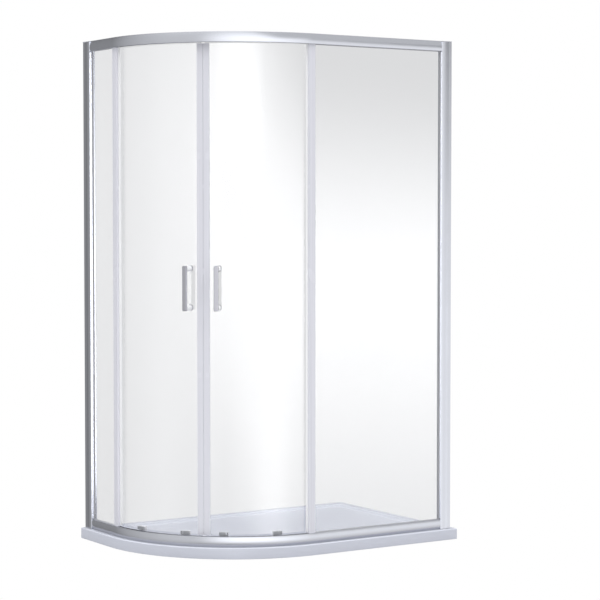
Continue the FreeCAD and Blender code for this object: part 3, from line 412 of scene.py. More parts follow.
finishes = {
    "tray": moulded("tray_resin", (0.555, 0.575, 0.645), (0.58, 0.60, 0.67), (0.16, 0.24),
                    mottle=3.0, grain=260.0, depth=4e-6, specular=0.35),
    "nylon": moulded("nylon", (0.72, 0.72, 0.70), (0.80, 0.80, 0.78), (0.38, 0.5), grain=1500.0),
    "rubber": moulded("rubber", (0.44, 0.445, 0.47), (0.50, 0.505, 0.53), (0.5, 0.65), depth=3e-5)}
for name, dark, light, roughness in (
        ("cap_plastic", (0.36, 0.37, 0.40), (0.42, 0.43, 0.47), (0.30, 0.42)),
        ("guide_plastic", (0.30, 0.31, 0.33), (0.35, 0.36, 0.38), (0.24, 0.36)),
        ("dark_plastic", (0.03, 0.03, 0.035), (0.06, 0.06, 0.065), (0.35, 0.5)),
        ("magnet_strip", (0.50, 0.50, 0.52), (0.56, 0.56, 0.58), (0.45, 0.6)),
        ("pale_plastic", (0.78, 0.785, 0.81), (0.84, 0.845, 0.87), (0.2, 0.3))):
    finishes[name] = moulded(name, dark, light, roughness)
print(len(finishes), "moulded finishes")

# %% [markdown]
# The polished bottom rail mirrors the tray's rim just where the rail itself shades it. The even
# studio light can't know of that shade, so the rays that metal mirrors find a darker tray. Rays
# that went through glass count as glossy too and are taken out.

# %% The tray as the rail mirrors it
tree = finishes["tray"].node_tree
base = tree.nodes["Principled BSDF"].inputs["Base Color"]
path = new_node(tree, "LightPath")
through_glass = calc(tree, "MAXIMUM", path["Is Transmission Ray"], path["Is Singular Ray"])
in_metal = calc(tree, "MULTIPLY", path["Is Glossy Ray"],
                calc(tree, "SUBTRACT", 1.0, through_glass))
open_tone = base.links[0].from_socket
tree.links.new(two_tones(tree, in_metal, open_tone, (0.34, 0.345, 0.375)), base)
print("the tray is darker in the metal")

# %% [markdown]
# ## Metal
# Rails and posts are anodised aluminium, drawn through a die, so their fine lines run lengthwise.
# On the bent rails no room axis follows the metal, so the pattern reads the "run" attribute that
# every piece stores. The upright parts can use the object's coordinates with z put first. Plated
# steel and chrome have the same build with other values.

# %% Silver, steel and chrome
def drawn_metal(name, colours, roughness, across=2600.0, along=14.0, depth=1.2e-6, bent=False):
    """Metal with faint lengthwise lines in its colour, roughness and surface."""
    material, tree, shader, vector = blank_material(name)
    if bent:
        vector = run_vector(tree)
    else:
        axes = new_node(tree, "SeparateXYZ", Vector=vector)
        vector = new_node(tree, "CombineXYZ", X=axes["Z"], Y=axes["X"], Z=axes["Y"])["Vector"]
    effect = new_node(tree, lines_group, Vector=vector, Across=across, Lengthwise=along)
    cloudy = calc(tree, "ADD", calc(tree, "MULTIPLY", effect["Lines"], 0.6),
                  calc(tree, "MULTIPLY", effect["Cloud"], 0.4))
    set_inputs(tree, shader, Base_Color=two_tones(tree, effect["Lines"], *colours),
               Roughness=ramped(tree, cloudy, (0.35, 0.65), roughness),
               Normal=bumped(tree, effect["Lines"], depth), Metallic=1.0)
    return material


SILVER = ((0.755, 0.775, 0.84), (0.80, 0.82, 0.89))
STEEL = ((0.55, 0.55, 0.56), (0.66, 0.66, 0.67))
CHROME = ((0.52, 0.52, 0.57), (0.58, 0.58, 0.63))
finishes["silver_rail"] = drawn_metal("silver_rail", SILVER, (0.16, 0.24), bent=True)
finishes["silver_frame"] = drawn_metal("silver_frame", SILVER, (0.16, 0.24))
finishes["steel"] = drawn_metal("plated_steel", STEEL, (0.25, 0.4))
finishes["chrome"] = drawn_metal("chrome", CHROME, (0.08, 0.13), across=700.0, along=60.0,
                                 depth=4e-7)
print(list(finishes))

# %% [markdown]
# ## Glass
# Toughened glass is clear with a slight grey tint and optically flat. Full transmission without
# roughness gives reflection and tint together. A see-through alpha would be faster, but it has no
# true reflection and no dark edge.

# %% Clear toughened glass
material, tree, shader, vector = blank_material("clear_glass")
effect = new_node(tree, mottle_group, Vector=vector, Mottle_Scale=1.2, Grain_Scale=5.0)
tint = two_tones(tree, effect["Mottle"], (0.735, 0.739, 0.75), (0.745, 0.749, 0.76))
set_inputs(tree, shader, Base_Color=tint, Roughness=0.0, IOR=1.45, Transmission_Weight=1.0)
finishes["glass"] = material
print("glass ready")

# %% [markdown]
# ## Milky profiles
# The strips on the glass edges are soft clear plastic, which looks milky because it is hollow and
# ribbed inside. True clear plastic came out blotchy without those ribs, so the look is a pale
# plastic with soft lengthwise streaks and a glossy coat. The thin far seals are the lightest.

# %% Profiles and seals
def pale_profile(name, dark, light):
    """Milky plastic whose streaks follow the profile, read from its run coordinates."""
    material, tree, shader, _ = blank_material(name)
    streaks = new_node(tree, lines_group, Vector=run_vector(tree), Across=260.0, Lengthwise=0.6)
    tone = ramped(tree, streaks["Lines"], (0.3, 0.7), (0.0, 1.0))
    set_inputs(tree, shader, Base_Color=two_tones(tree, tone, dark, light),
               Roughness=ramped(tree, streaks["Cloud"], (0.3, 0.7), (0.18, 0.28)),
               Coat_Weight=0.4, Coat_Roughness=0.1)
    return material


for name, dark, light in (
        ("clear_profile", (0.60, 0.605, 0.66), (0.69, 0.695, 0.75)),
        ("meeting_profile", (0.61, 0.615, 0.67), (0.70, 0.705, 0.76)),
        ("seal_profile", (0.78, 0.785, 0.80), (0.87, 0.875, 0.89))):
    finishes[name] = pale_profile(name, dark, light)
print(len(finishes), "finishes in all")

# %% [markdown]
# ## Writing a piece
# A piece takes the place of a CAD node and moves with its body. `bmesh` merges doubled points at
# poles and seams and turns all faces outwards. The Weighted Normal modifier shades each large flat
# face evenly, so that only the small corner faces bend the light. Marking every edge sharp instead
# would lose the glint along the corners.

# %% Make a piece from surfaces
METRE = 0.001
MERGE = 1e-6


def clean(mesh, distance, step):
    """Merges the points of a mesh that are closer than a distance, then takes one more step."""
    work = bmesh.new()
    work.from_mesh(mesh)
    bmesh.ops.remove_doubles(work, verts=work.verts, dist=distance)
    step(work)
    work.to_mesh(mesh)
    work.free()


def write_piece(name, surfaces, node, slot, finish=None, sharp=50.0):
    """Joins closed surfaces into one piece, in metres, that stands for a CAD node."""
    points, faces, runs, start = [], [], [], 0
    for surface, quads, ends, run in surfaces:
        points.append(surface)
        runs.append(run)
        faces += (quads + start).tolist() + [(end + start).tolist() for end in ends]
        start += len(surface)
    mesh = bpy.data.meshes.new(name)
    mesh.from_pydata(np.concatenate(points) * METRE, [], faces)
    run = mesh.attributes.new("run", "FLOAT_VECTOR", "POINT")
    run.data.foreach_set("vector", (np.concatenate(runs) * METRE).ravel())
    clean(mesh, MERGE, lambda work: bmesh.ops.recalc_face_normals(work, faces=work.faces))
    return finish_piece(mesh, node, slot, finish, sharp)


def new_object(name, data):
    """Object of that data in the scene."""
    item = bpy.data.objects.new(name, data)
    bpy.context.scene.collection.objects.link(item)
    return item


def finish_piece(mesh, node, slot, finish, sharp):
    """Links the mesh as an object, dresses and shades it, puts it on its node's body and hides the
    node.
    """
    mesh.materials.clear()
    mesh.materials.append(finishes[finish or slot])
    mesh.shade_smooth()
    mesh.set_sharp_from_angle(angle=math.radians(sharp))
    piece = new_object(mesh.name, mesh)
    even = piece.modifiers.new("even shading", "WEIGHTED_NORMAL")
    even.keep_sharp = True
    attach(piece, nodes[node]["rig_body"])
    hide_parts(node)
    return piece


def soften(node, slot, finish=None, width=0.3):
    """Copy of a CAD node with its triangles merged to flat faces and its edges rounded."""
    mesh = nodes[node].data.copy()
    mesh.name = node + "_soft"
    clean(mesh, 10 * MERGE, lambda work: bmesh.ops.dissolve_limit(
        work, angle_limit=math.radians(1), verts=work.verts, edges=work.edges))
    piece = finish_piece(mesh, node, slot, finish, 40.0)
    bevel = piece.modifiers.new("soft edges", "BEVEL")
    bevel.width = width * METRE
    bevel.segments = 2
    bevel.limit_method = "ANGLE"
    bevel.angle_limit = math.radians(35)
    piece.modifiers.move(1, 0)


def let_light_through(piece, mirrored=True):
    """Keeps a see-through piece from throwing a shade, as clear parts throw hardly any."""
    piece.visible_shadow = piece.visible_diffuse = False
    piece.visible_glossy = mirrored


print("one call now makes, shades and ties a piece")

# %% [markdown]
# ## The tray
# The tray is cast resin: a flat rim that the screen stands on, a short slope, and a floor that
# falls to the waste. Its outline is the same path everywhere, only drawn in further, so the whole
# tray is one stack of loops: up the outside, over the rim, down to the waste, through the hole and
# back underneath. Equal numbers of points need no patching between the rectangle and the circle.

# %% The tray's outline
CURVE_STEPS, CORNER_STEPS, SIDE_STEPS = 96, 8, (30, 30, 50, 12)


def tray_outline(front, side, corner):
    """Plan of the tray drawn in by its front and wall insets.

    The large curve loses the inset from its radius, and each square corner is a quarter circle.
    Every stretch has a fixed number of points, whatever the insets are."""
    west, south = np.array([-TRAY_LENGTH, -TRAY_WIDTH]) / 2 + front + corner
    east, north = np.array([TRAY_LENGTH, TRAY_WIDTH]) / 2 - side - corner
    quarter = np.linspace(0, np.pi / 2, CORNER_STEPS + 1)
    arcs = [CENTRE - (CURVE_RADIUS - front) * circle(np.linspace(0, np.pi / 2, CURVE_STEPS + 1))]
    for turn, middle in ((-1, (east, south)), (0, (east, north)), (1, (west, north))):
        arcs.append(middle + corner * circle(quarter + turn * np.pi / 2))
    stretches = []
    for this, following, count in zip(arcs, arcs[1:] + arcs[:1], SIDE_STEPS):
        t = np.linspace(0, 1, count + 1)[1:-1, None]
        stretches += [this, this[-1] + t * (following[0] - this[-1])]
    return np.concatenate(stretches)


print(len(tray_outline(0, 0, 6)), "points round the tray")

# %% The tray's loops
EDGE_ROUND, TRAY_CORNER, UNDER_EDGE = 3.3, 6.0, 0.8
FRONT_RIM, WALL_RIM, RIM_CORNER = 50.0, 38.0, 30.0
RIM_DROP, RIM_SLOPE, RIM_ROUND = 8.0, 7.0, 5.0
FLOOR_Z = TRAY_HEIGHT - RIM_DROP
WASTE = CENTRE - 350.0 * math.sqrt(0.5)
SUMP_Z, SUMP, SEAT, HOLE = 25.0, 65.0, 58.0, 45.0
SEAT_Z, POCKET_Z, SEAT_EDGE = 22.5, 8.0, 0.3


def tray_level(inset, z):
    """Loop of the tray's outside at a height."""
    return lifted(tray_outline(inset, inset, TRAY_CORNER), z)


def waste_circle(like, radius, z):
    """Circle round the waste whose points lie in the directions of a loop's points."""
    return lifted(WASTE + radius * unit(like[:, :2] - WASTE), z)


loops = [tray_level(inset, z) for inset, z in (
    (UNDER_EDGE, 0), (0, UNDER_EDGE), (0, TRAY_HEIGHT / 2))]
edge_z = TRAY_HEIGHT - EDGE_ROUND
loops += [tray_level(EDGE_ROUND * (1 - math.cos(angle)), edge_z + EDGE_ROUND * math.sin(angle))
          for angle in np.radians(np.linspace(0, 90, 8))]
loops.append(tray_level(EDGE_ROUND + 1, TRAY_HEIGHT))

# The lip is a rounded step, drawn as (distance past the rim's edge, height) far beyond both ends.
BEFORE, PAST = -16, 40
lip = rounded([(BEFORE, TRAY_HEIGHT), (0, TRAY_HEIGHT), (RIM_SLOPE, FLOOR_Z), (PAST, FLOOR_Z),
               (PAST, 0), (BEFORE, 0)], [0, RIM_ROUND, RIM_ROUND, 0, 0, 0], steps=6)
lip = lip[(lip[:, 1] >= FLOOR_Z - TINY) & (lip[:, 0] < PAST - 1)]
loops += [lifted(tray_outline(FRONT_RIM + d, WALL_RIM + d, RIM_CORNER - d), z) for d, z in lip]
foot = loops[-1]
sump_edge = waste_circle(foot, SUMP, SUMP_Z)
loops += [foot + (sump_edge - foot) * t
          for t in (0.02, 0.1, 0.25, 0.4, 0.55, 0.7, 0.82, 0.92, 0.98)]
loops += [waste_circle(foot, radius, z) for radius, z in (
    (SUMP, SUMP_Z), (SUMP - 1, SUMP_Z), (SEAT + SEAT_EDGE, SUMP_Z), (SEAT, SUMP_Z - SEAT_EDGE),
    (SEAT, SEAT_Z), (HOLE, SEAT_Z), (HOLE, POCKET_Z), (SUMP, POCKET_Z), (SUMP, 0))]
write_piece("tray", [loft(loops, loop=True)], "shower_tray", "tray", sharp=60)
print("the lip runs from", lip[0].round(1), "to", lip[-1].round(1))

# %% [markdown]
# ## The waste
# Under a low chrome dome sits a flange with a grid, sealed in the tray's seat. The dome is turned
# on an upright axis, with a rolled edge, a stem and four small feet. The flange keeps the CAD
# shape with softened edges, as its grid is right already.

# %% The waste cover and flange
FLANGE_TOP, DOME_TOP = 26.0, 32.0
COVER, SKIN, CROWN = 56.0, 1.6, 1.4
FOOT_PLACE, FOOT_RADIUS = 48.0, 2.5


def about_waste(profile, centre=WASTE, around=64):
    """Surface of a profile of (z, radius) pairs turned about an upright axis."""
    return loft(np.stack(spun(profile, centre, around), -1))


over_r, under_r = np.linspace(0, COVER - 0.8, 14), np.linspace(COVER - 2.4, 4.2, 12)
over_z, under_z = (z - CROWN * (r / COVER) ** 2
                   for z, r in ((DOME_TOP, over_r), (DOME_TOP - SKIN, under_r)))
rim = [(30.5, COVER - 0.2), (30.0, COVER), (29.4, COVER), (29.0, COVER - 0.4), (29.0, COVER - SKIN)]
stem = [(30.0, 4.0), (23.5, 4.0), (23.0, 3.5), (23.0, 0)]
dome = about_waste([*zip(over_z, over_r), *rim, *zip(under_z, under_r), *stem])
peg = [(FLANGE_TOP, 0), (FLANGE_TOP, FOOT_RADIUS - 0.2), (FLANGE_TOP + 0.2, FOOT_RADIUS),
       (29.6, FOOT_RADIUS), (29.6, 0)]
feet_at = FOOT_PLACE * np.array([(1, 1), (-1, 1), (-1, -1), (1, -1)]) * math.sqrt(0.5)
feet = [about_waste(peg, WASTE + offset, 20) for offset in feet_at]
write_piece("waste_cover_dome", [dome] + feet, "waste_cover", "chrome")
soften("waste_flange", "chrome")

# %% [markdown]
# ## The bent rails
# This is the most skilful part of the real object: one aluminium extrusion with a pocket for the
# fixed glass and a track for the wheels, bent to a quarter circle with two straight ends and no
# kink. The same section serves for both rails, upside down for the lower one. It is drawn once as
# (inset, depth from the pocket's mouth) and carried along the edge, a station at each degree.

# %% The rail section
RAIL_FOOT, RAIL_MOUTH, RAIL_BULGE, RAIL_BACK = 20.5, 17.3, 2.7, 40.0
TRACK = POCKET_DEPTH + WALL
LIP, LIP_THICK, CLOSING_LIP = 2.4, 1.2, 4.0
FACE_POINTS, SKIN_POINTS = 15, 7


def rail_outline():
    """Rail section as (inset, depth) pairs.

    The face is an arc over the chord from mouth to foot, bulging outwards at its middle, and the
    inside of its skin is the same circle one wall smaller; the rest has small round corners."""
    chord = np.array([RAIL_FOOT - RAIL_MOUTH, RAIL_HEIGHT])
    out = unit(np.array([-chord[1], chord[0]]))
    crest = np.array([RAIL_MOUTH, 0]) + chord / 2 + RAIL_BULGE * out
    face = arc((RAIL_MOUTH, 0), crest, (RAIL_FOOT, RAIL_HEIGHT), FACE_POINTS)
    radius = (np.linalg.norm(chord) ** 2 / 4 + RAIL_BULGE ** 2) / (2 * RAIL_BULGE)
    centre = crest - out * radius
    room, lip = RAIL_HEIGHT - WALL, RAIL_BACK - LIP_THICK
    depth = np.linspace(room, TRACK, SKIN_POINTS)
    skin = centre[0] - np.sqrt((radius - WALL) ** 2 - (depth - centre[1]) ** 2)
    corners = [*face, (RAIL_BACK, RAIL_HEIGHT), (RAIL_BACK, RAIL_HEIGHT - CLOSING_LIP),
               (lip, RAIL_HEIGHT - CLOSING_LIP), (lip, room), *zip(skin, depth),
               (lip, TRACK), (lip, TRACK + LIP), (RAIL_BACK, TRACK + LIP),
               (RAIL_BACK, POCKET_DEPTH), (POCKET_INNER + WALL, POCKET_DEPTH),
               (POCKET_INNER + WALL, 0), (POCKET_INNER, 0), (POCKET_INNER, POCKET_DEPTH),
               (POCKET_OUTER, POCKET_DEPTH), (POCKET_OUTER, 0)]
    radii = np.full(len(corners), 0.35)
    radii[:FACE_POINTS] = 0
    radii[[0, FACE_POINTS - 1]] = 0.9
    radii[FACE_POINTS + 4:FACE_POINTS + 4 + SKIN_POINTS] = 0
    return rounded(corners, radii)


section = rail_outline()
print(len(section), "points round the section")

# %% Both rails
rail_path = np.concatenate([np.linspace(-POSTS["front"], 0, 25)[:-1],
                            np.linspace(0, ARC_LENGTH, 91),
                            ARC_LENGTH + np.linspace(0, POSTS["left"], 9)[1:]])
for name, mouth, way in (("top_rail", TOP_MOUTH, 1), ("bottom_rail", BOTTOM_MOUTH, -1)):
    levels = np.column_stack([section[:, 0], mouth + way * section[:, 1]])
    rail = loft(carry(levels, rail_path), run=rail_path)
    write_piece(name + "_bent", [rail], name, "silver_frame", "silver_rail")
print(len(rail_path), "stations along each rail")

# %% [markdown]
# ## Posts, wall channels and caps
# A wall post takes the glass edge in a pocket and slides over a plain channel screwed to the wall,
# which is how a fitter takes up a wall that isn't true. An upright extrusion needs only its
# outline at two heights. Its face is very slightly crowned, which spreads the light over it.

# %% The wall posts
POST_OUTER, POST_INNER, POST_WIDTH, CAP, POST_BOW = 14.0, 42.0, 33.0, 2.5, 1.0
BOW_POINTS = 11


def post_outline(post):
    """Outline of a post as (along, inset) pairs, from its rounded front corner."""
    web, end = post + POCKET_DEPTH, post + POST_WIDTH
    low = POST_OUTER + POST_BOW
    face = arc((post, low), (post + POST_WIDTH / 2, POST_OUTER), (end, low), BOW_POINTS)
    corners = [*face, (end, low + WALL), (web, POST_OUTER + WALL), (web, POST_INNER - WALL),
               (end, POST_INNER - WALL), (end, POST_INNER), (post, POST_INNER),
               (post, POCKET_INNER), (web - WALL, POCKET_INNER), (web - WALL, POCKET_OUTER),
               (post, POCKET_OUTER)]
    radii = [1.5] + [0] * (BOW_POINTS - 2) + [0.4, 0.3, 0.3, 0.3, 0.3, 0.4, 1.0, 0.4, 0.3, 0.3, 0.4]
    return rounded(corners, radii, steps=5)


for side, post in POSTS.items():
    body = upright(post_outline(post), (TRAY_HEIGHT, TOP - CAP), side)
    write_piece("post_" + side, [body], "wall_post_" + side, "silver_frame")
soften("post_caps", "cap_plastic", width=0.6)

# %% [markdown]
# ## The fixed panes
# A toughened pane has ground edges, so its arris is a small chamfer and never a knife edge. A flat
# pane is a stack of four soft rectangles: shrunk at each face and full in between. The stile on
# its free edge has a rounded nose and two leaves that grip the glass.

# %% Fixed panes
ARRIS, PANE_CORNER, GLASS_GAP = 0.5, 2.0, 2.2
FIXED_LOW, FIXED_HIGH, FIXED_START = 63.7, 1866.3, -8.0
pane_steps = [(FIXED_INSET + inset, shrink) for inset, shrink in (
    (0, ARRIS), (ARRIS, 0), (GLASS - ARRIS, 0), (GLASS, ARRIS))]
for side, post in POSTS.items():
    end = post + POCKET_DEPTH - WALL - GLASS_GAP
    pane = slab((FIXED_START, FIXED_LOW), (end, FIXED_HIGH), pane_steps, PANE_CORNER, side)
    let_light_through(write_piece("pane_" + side, [pane], "fixed_glass_" + side, "glass"))

# %% Stiles
STILE_OUTER, STILE_INNER = FIXED_INSET - 3, FIXED_INSET + GLASS + 3
NOSE_POINTS = 9
nose = arc((-8.5, STILE_INNER), (-11.5, (STILE_OUTER + STILE_INNER) / 2), (-8.5, STILE_OUTER),
           NOSE_POINTS)
stile_corners = [*nose, (16.5, STILE_OUTER), (18.0, 25.5), (18.0, 27.0),
                 (-8.05, 27.0), (-8.05, 33.0), (10.0, 33.0), (8.5, STILE_INNER)]
stile_outline = rounded(stile_corners, [0] * NOSE_POINTS + [1.2, 0.8, 0.2, 0.2, 0.2, 0.2, 0.8])
for side in POSTS:
    stile = upright(stile_outline, (BOTTOM_MOUTH, TOP_MOUTH), side)
    let_light_through(write_piece("stile_" + side, [stile], "fixed_stile_" + side,
                                  "clear_profile"), mirrored=False)

# %% [markdown]
# ## The curved doors
# A curved pane is bent in a furnace, so its two faces are parallel cylinders: the same thin
# section carried round the curve. The profiles on its edges are only a few centimetres wide, so
# they are drawn flat and then wrapped, each millimetre of width becoming its angle at the glass.

# %% Curved panes
DOOR_LOW, DOOR_HIGH = 59.0, TOP - 3.5
DOOR_START, END_GAP, DOOR_STEPS = -20.35, 7.9, 60


def glass_degrees(length):
    """Angle that a length covers on the outer face of the door glass."""
    return np.degrees(length / (CURVE_RADIUS - DOOR_INSET))


def on_curve(turn, inset):
    """(Along, inset) of points at an angle round the curve.

    They lie radius minus inset from its centre, to the left by the sine of the angle."""
    reach = CURVE_RADIUS - inset
    return -reach * np.sin(turn), CURVE_RADIUS - reach * np.cos(turn)


def curved_pane(meeting, side):
    """Door pane: its section of (inset, z) at even angles from one edge to the other."""
    low, high, outer, inner = DOOR_LOW, DOOR_HIGH, DOOR_INSET, DOOR_INSET + GLASS
    edge = np.array([
        (outer, low + ARRIS), (outer + ARRIS, low), (inner - ARRIS, low), (inner, low + ARRIS),
        (inner, high - ARRIS), (inner - ARRIS, high), (outer + ARRIS, high), (outer, high - ARRIS)])
    angles = np.linspace(glass_degrees(DOOR_START), meeting - glass_degrees(END_GAP),
                         DOOR_STEPS + 1)
    along, inset = on_curve(np.radians(angles)[:, None], edge[:, 0])
    rings = np.stack([along, inset, np.broadcast_to(edge[:, 1], along.shape)], -1)
    return loft(place(rings, side))


for side, door, meeting in DOORS:
    pane = curved_pane(meeting, side)
    let_light_through(write_piece(door + "pane", [pane], door + "glass", "glass"))

# %% Edge profiles of the doors
PROFILE_LOW, PROFILE_HIGH = BOTTOM_MOUTH + 2.2, TOP_MOUTH - 2.2


def wrapped(outline, side, angle):
    """Surface of a narrow upright profile drawn flat as (width, inset), wrapped on the curve."""
    plan = np.column_stack(on_curve(np.radians(angle + glass_degrees(outline[:, 0])),
                                    outline[:, 1]))
    return upright(plan, (PROFILE_LOW, PROFILE_HIGH), side)


# Magnet profile: a closed nose at width 0 and two leaves 23 mm long that grip the glass.
strip = rounded([(-0.3, 43), (-0.3, 53), (-12, 53), (-23, 53), (-23, 51.05), (-14, 51.05),
                 (-7.9, 51.05), (-7.9, 44.95), (-14, 44.95), (-23, 44.95), (-23, 43), (-12, 43)],
                [1.6, 1.6, 0, 0.8, 0.3, 0, 0.2, 0.2, 0, 0.3, 0.8, 0])
# Edge seal: a long outer leaf, an end wall and a short inner leaf.
OUT, IN = 43.35, 52.65
seal = rounded([(-22, OUT), (-12, OUT), (0, OUT), (10, OUT), (10, OUT + WALL), (0, OUT + WALL),
                (-12, OUT + WALL), (-20.4, OUT + WALL), (-20.4, IN - WALL), (-6, IN - WALL),
                (-6, IN), (-14, IN), (-22, IN)],
               [1.4, 0, 0, 0.7, 0.5, 0, 0, 0.2, 0.2, 0.5, 0.7, 0, 1.4])
for side, door, meeting in DOORS:
    for name, outline, angle, node, finish in (
            ("meeting_strip", strip, meeting, "magnet_profile", "meeting_profile"),
            ("far_seal", seal, 0.0, "edge_seal", "seal_profile")):
        piece = write_piece(door + name, [wrapped(outline, side, angle)], door + node,
                            "clear_profile", finish)
        let_light_through(piece, mirrored=False)

# %% [markdown]
# ## The handles
# Each handle is a flat chromed bar on two round posts. A full soft round on its front edges gives
# the bright outline. The bar is a stack of rounded rectangles from the front face backwards, and
# the posts and inside buttons are turned pieces.

# %% Handle bars, posts and buttons
HANDLE_MIDDLE, HANDLE_LENGTH, HANDLE_WIDTH, HANDLE_ROUND = 973.0, 162.0, 17.0, 2.5
BAR_CORNER, BAR_FRONT, BAR_BACK, HANDLE_REACH = 3.0, -5.0, 3.0, 70.5
POST_END, BUTTON_SEAT = 43.8, 52.36
bar_turn = np.radians(np.linspace(90, 0, 7))
bar_steps = [*zip(BAR_FRONT + HANDLE_ROUND * (1 - np.sin(bar_turn)),
                  HANDLE_ROUND * (1 - np.cos(bar_turn))),
             (BAR_BACK - 0.5, 0.0), (BAR_BACK - 0.15, 0.15), (BAR_BACK, 0.5)]
bar_half = np.array([HANDLE_WIDTH, HANDLE_LENGTH]) / 2
post_profile = eased([(BAR_BACK, 0), (BAR_BACK, 10.5), (POST_END, 10.5), (POST_END, 0)], 0.5)
button_profile = eased([(32, 0), (32, 3), (BUTTON_SEAT, 3), (BUTTON_SEAT, 12),
                        (BUTTON_SEAT + 3.2, 12), (BUTTON_SEAT + 6, 8), (BUTTON_SEAT + 6, 0)],
                       [0, 0.3, 0.2, 0.6, 1.6, 2.0, 0], 4)
ends = (HANDLE_MIDDLE - HANDLE_REACH, HANDLE_MIDDLE + HANDLE_REACH)
for side, door, meeting in DOORS:
    angle = meeting - HANDLE_ANGLE
    posts, buttons = ([turned(profile, (0, z), side, angle) for z in ends]
                      for profile in (post_profile, button_profile))
    bar = slab((0, HANDLE_MIDDLE) - bar_half, (0, HANDLE_MIDDLE) + bar_half, bar_steps,
               BAR_CORNER, side, angle, 5)
    write_piece(door + "bar", [bar], door + "handle_bar", "chrome")
    write_piece(door + "bar_posts", posts, door + "handle_posts", "chrome", "pale_plastic")
    write_piece(door + "buttons", buttons, door + "handle_bolts", "chrome")

# %% [markdown]
# ## Rollers
# Each door hangs on two nylon wheels in the top track, whose bolts pass through the glass, and a
# cam knob on the inside sets the door's height. Two smaller wheels run in the bottom track. All
# are turned. Wheels and knobs have a bore, so their surface runs back into itself.

# %% Hanger bolts and knobs
TOP_AXLE_Z, LOWER_AXLE_Z = 1878.8, 53.6
bolt = eased([(27.8, 0), (27.8, 3), (28.5, 4), (29.2, 4), (29.2, 2.5), (34.8, 2.5), (34.8, 3.5),
              (43.75, 3.5), (43.75, 6.5), (44.95, 6.5), (44.95, 2.5), (58.1, 2.5), (58.1, 0)], 0.2)
knob = rounded([(45.05, 2.55), (45.05, 4.5), (51.17, 4.5), (51.17, 11), (59.17, 11), (59.17, 2.55)],
               [0.1, 0.2, 0.2, 0.6, 2.4, 0.6], 5)
for side, door, meeting in DOORS:
    bolts, knobs = ([turned(profile, (0, TOP_AXLE_Z), side, meeting - angle, around, loop)
                     for angle in ROLLERS.values()]
                    for profile, around, loop in ((bolt, 32, False), (knob, 48, True)))
    write_piece(door + "hanger_bolts", bolts, door + "roller_bolts", "chrome")
    write_piece(door + "cam_knobs", knobs, door + "roller_cams", "cap_plastic")

# %% Wheels
WHEEL_INSET = 32.0
WHEELS = {"top": (TOP_AXLE_Z, 16.8, 5.0), "lower": (LOWER_AXLE_Z, 12.0, 4.0)}


def wheel_profile(width, axle):
    """Closed profile of a wheel: crowned rim, dished web, raised hub and bore."""
    radius, hub, dish, bore = width / 2, axle / 2 + 1.4, width / 2 - 2.0, axle / 2 + 0.05
    half = [(2.5, bore), (2.5, hub), (1.5, hub), (1.5, dish), (2.0, dish), (2.0, radius - 0.5),
            (1.5, radius)]
    return rounded([(WHEEL_INSET - out, r) for out, r in half] +
                   [(WHEEL_INSET + out, r) for out, r in half[::-1]], 0.15, 2)


for side, door, meeting in DOORS:
    for name, angle in ROLLERS.items():
        for level, (height, width, axle) in WHEELS.items():
            node = f"{door}{name}_{level}_wheel"
            wheel = turned(wheel_profile(width, axle), (0, height), side, meeting - angle, 64, True)
            write_piece(node + "_round", [wheel], node, "nylon")

# %% [markdown]
# ## Lower guides and small hardware
# A guide housing clamps through the glass above the bottom rail. Its slider, pressed down against
# a folded spring, frees the wheel so that the door swings in for cleaning. These block-like
# mouldings are right in CAD and only get soft edges. What hardly shows keeps its plain CAD mesh.

# %% Guides, sliders, springs and the rest
KEPT = {"waste_seal": "rubber", "waste_nut": "dark_plastic", "post_screws": "steel",
        "travel_stops": "rubber"}
for side, door, _ in DOORS:
    soften(door + "guide_housings", "guide_plastic", "pale_plastic", 0.5)
    soften(door + "guide_plates", "guide_plastic", width=0.4)
    KEPT |= {"wall_channel_" + side: "silver_frame", "glazing_rubber_" + side: "rubber",
             door + "handle_washers": "pale_plastic", door + "magnet_strip": "magnet_strip"}
    for name in ROLLERS:
        soften(door + name + "_slider", "guide_plastic", "pale_plastic", 0.25)
        KEPT[door + name + "_spring"] = "steel"
for node, finish in KEPT.items():
    nodes[node].data.materials.clear()
    nodes[node].data.materials.append(finishes[finish])
print(len(KEPT), "CAD nodes keep their own mesh")

# %% [markdown]
# ## The camera
# The photograph was taken with a long lens from about 7 m, at chest height. Place and direction
# were solved from the corners of tray, rails and posts, so the axes are given as three vectors,
# which is more exact than rotation angles.

# %% Camera
CAMERA_PLACE = (-3.8491, -6.2117, 1.2469)
CAMERA_AXES = ((0.84132, -0.54053, 0.0), (0.02471, 0.03846, 0.99895),
               (-0.53997, -0.84044, 0.04571))
LENS, SENSOR, FAR = 115.34, 36.0, 100.0

camera_data = bpy.data.cameras.new("camera")
camera_data.lens = LENS
camera_data.sensor_width = SENSOR
camera_data.clip_end = FAR
camera = new_object("camera", camera_data)
turn = Matrix(CAMERA_AXES).transposed().to_4x4()
camera.matrix_world = Matrix.Translation(CAMERA_PLACE) @ turn
bpy.context.scene.camera = camera
print("lens", LENS, "mm")

# %% [markdown]
# ## Studio light
# Silver and glass show hardly anything of their own: they show the room. A photographer sets up
# different cards for metal and for glass, and here one world shader holds three rooms, each a
# smooth pattern of the ray's direction alone. Cards made as objects would stand in the way of
# other views. First come the tools: azimuth and elevation in degrees, a ramp round the horizon,
# and short names. The azimuth's jump, at 100 degrees, lies behind the walls. A colour ramp holds
# no value over 1, so brightness is stored at a tenth.

# %% Directions and ramps
SCALE, FIRST, LAST = 10.0, -260.0, 100.0
world = bpy.data.worlds.new("studio")
bpy.context.scene.world = world
world.use_nodes = True
sky = world.node_tree
add, times, minus = (partial(calc, sky, kind) for kind in ("ADD", "MULTIPLY", "SUBTRACT"))
ease = partial(ramped, sky)

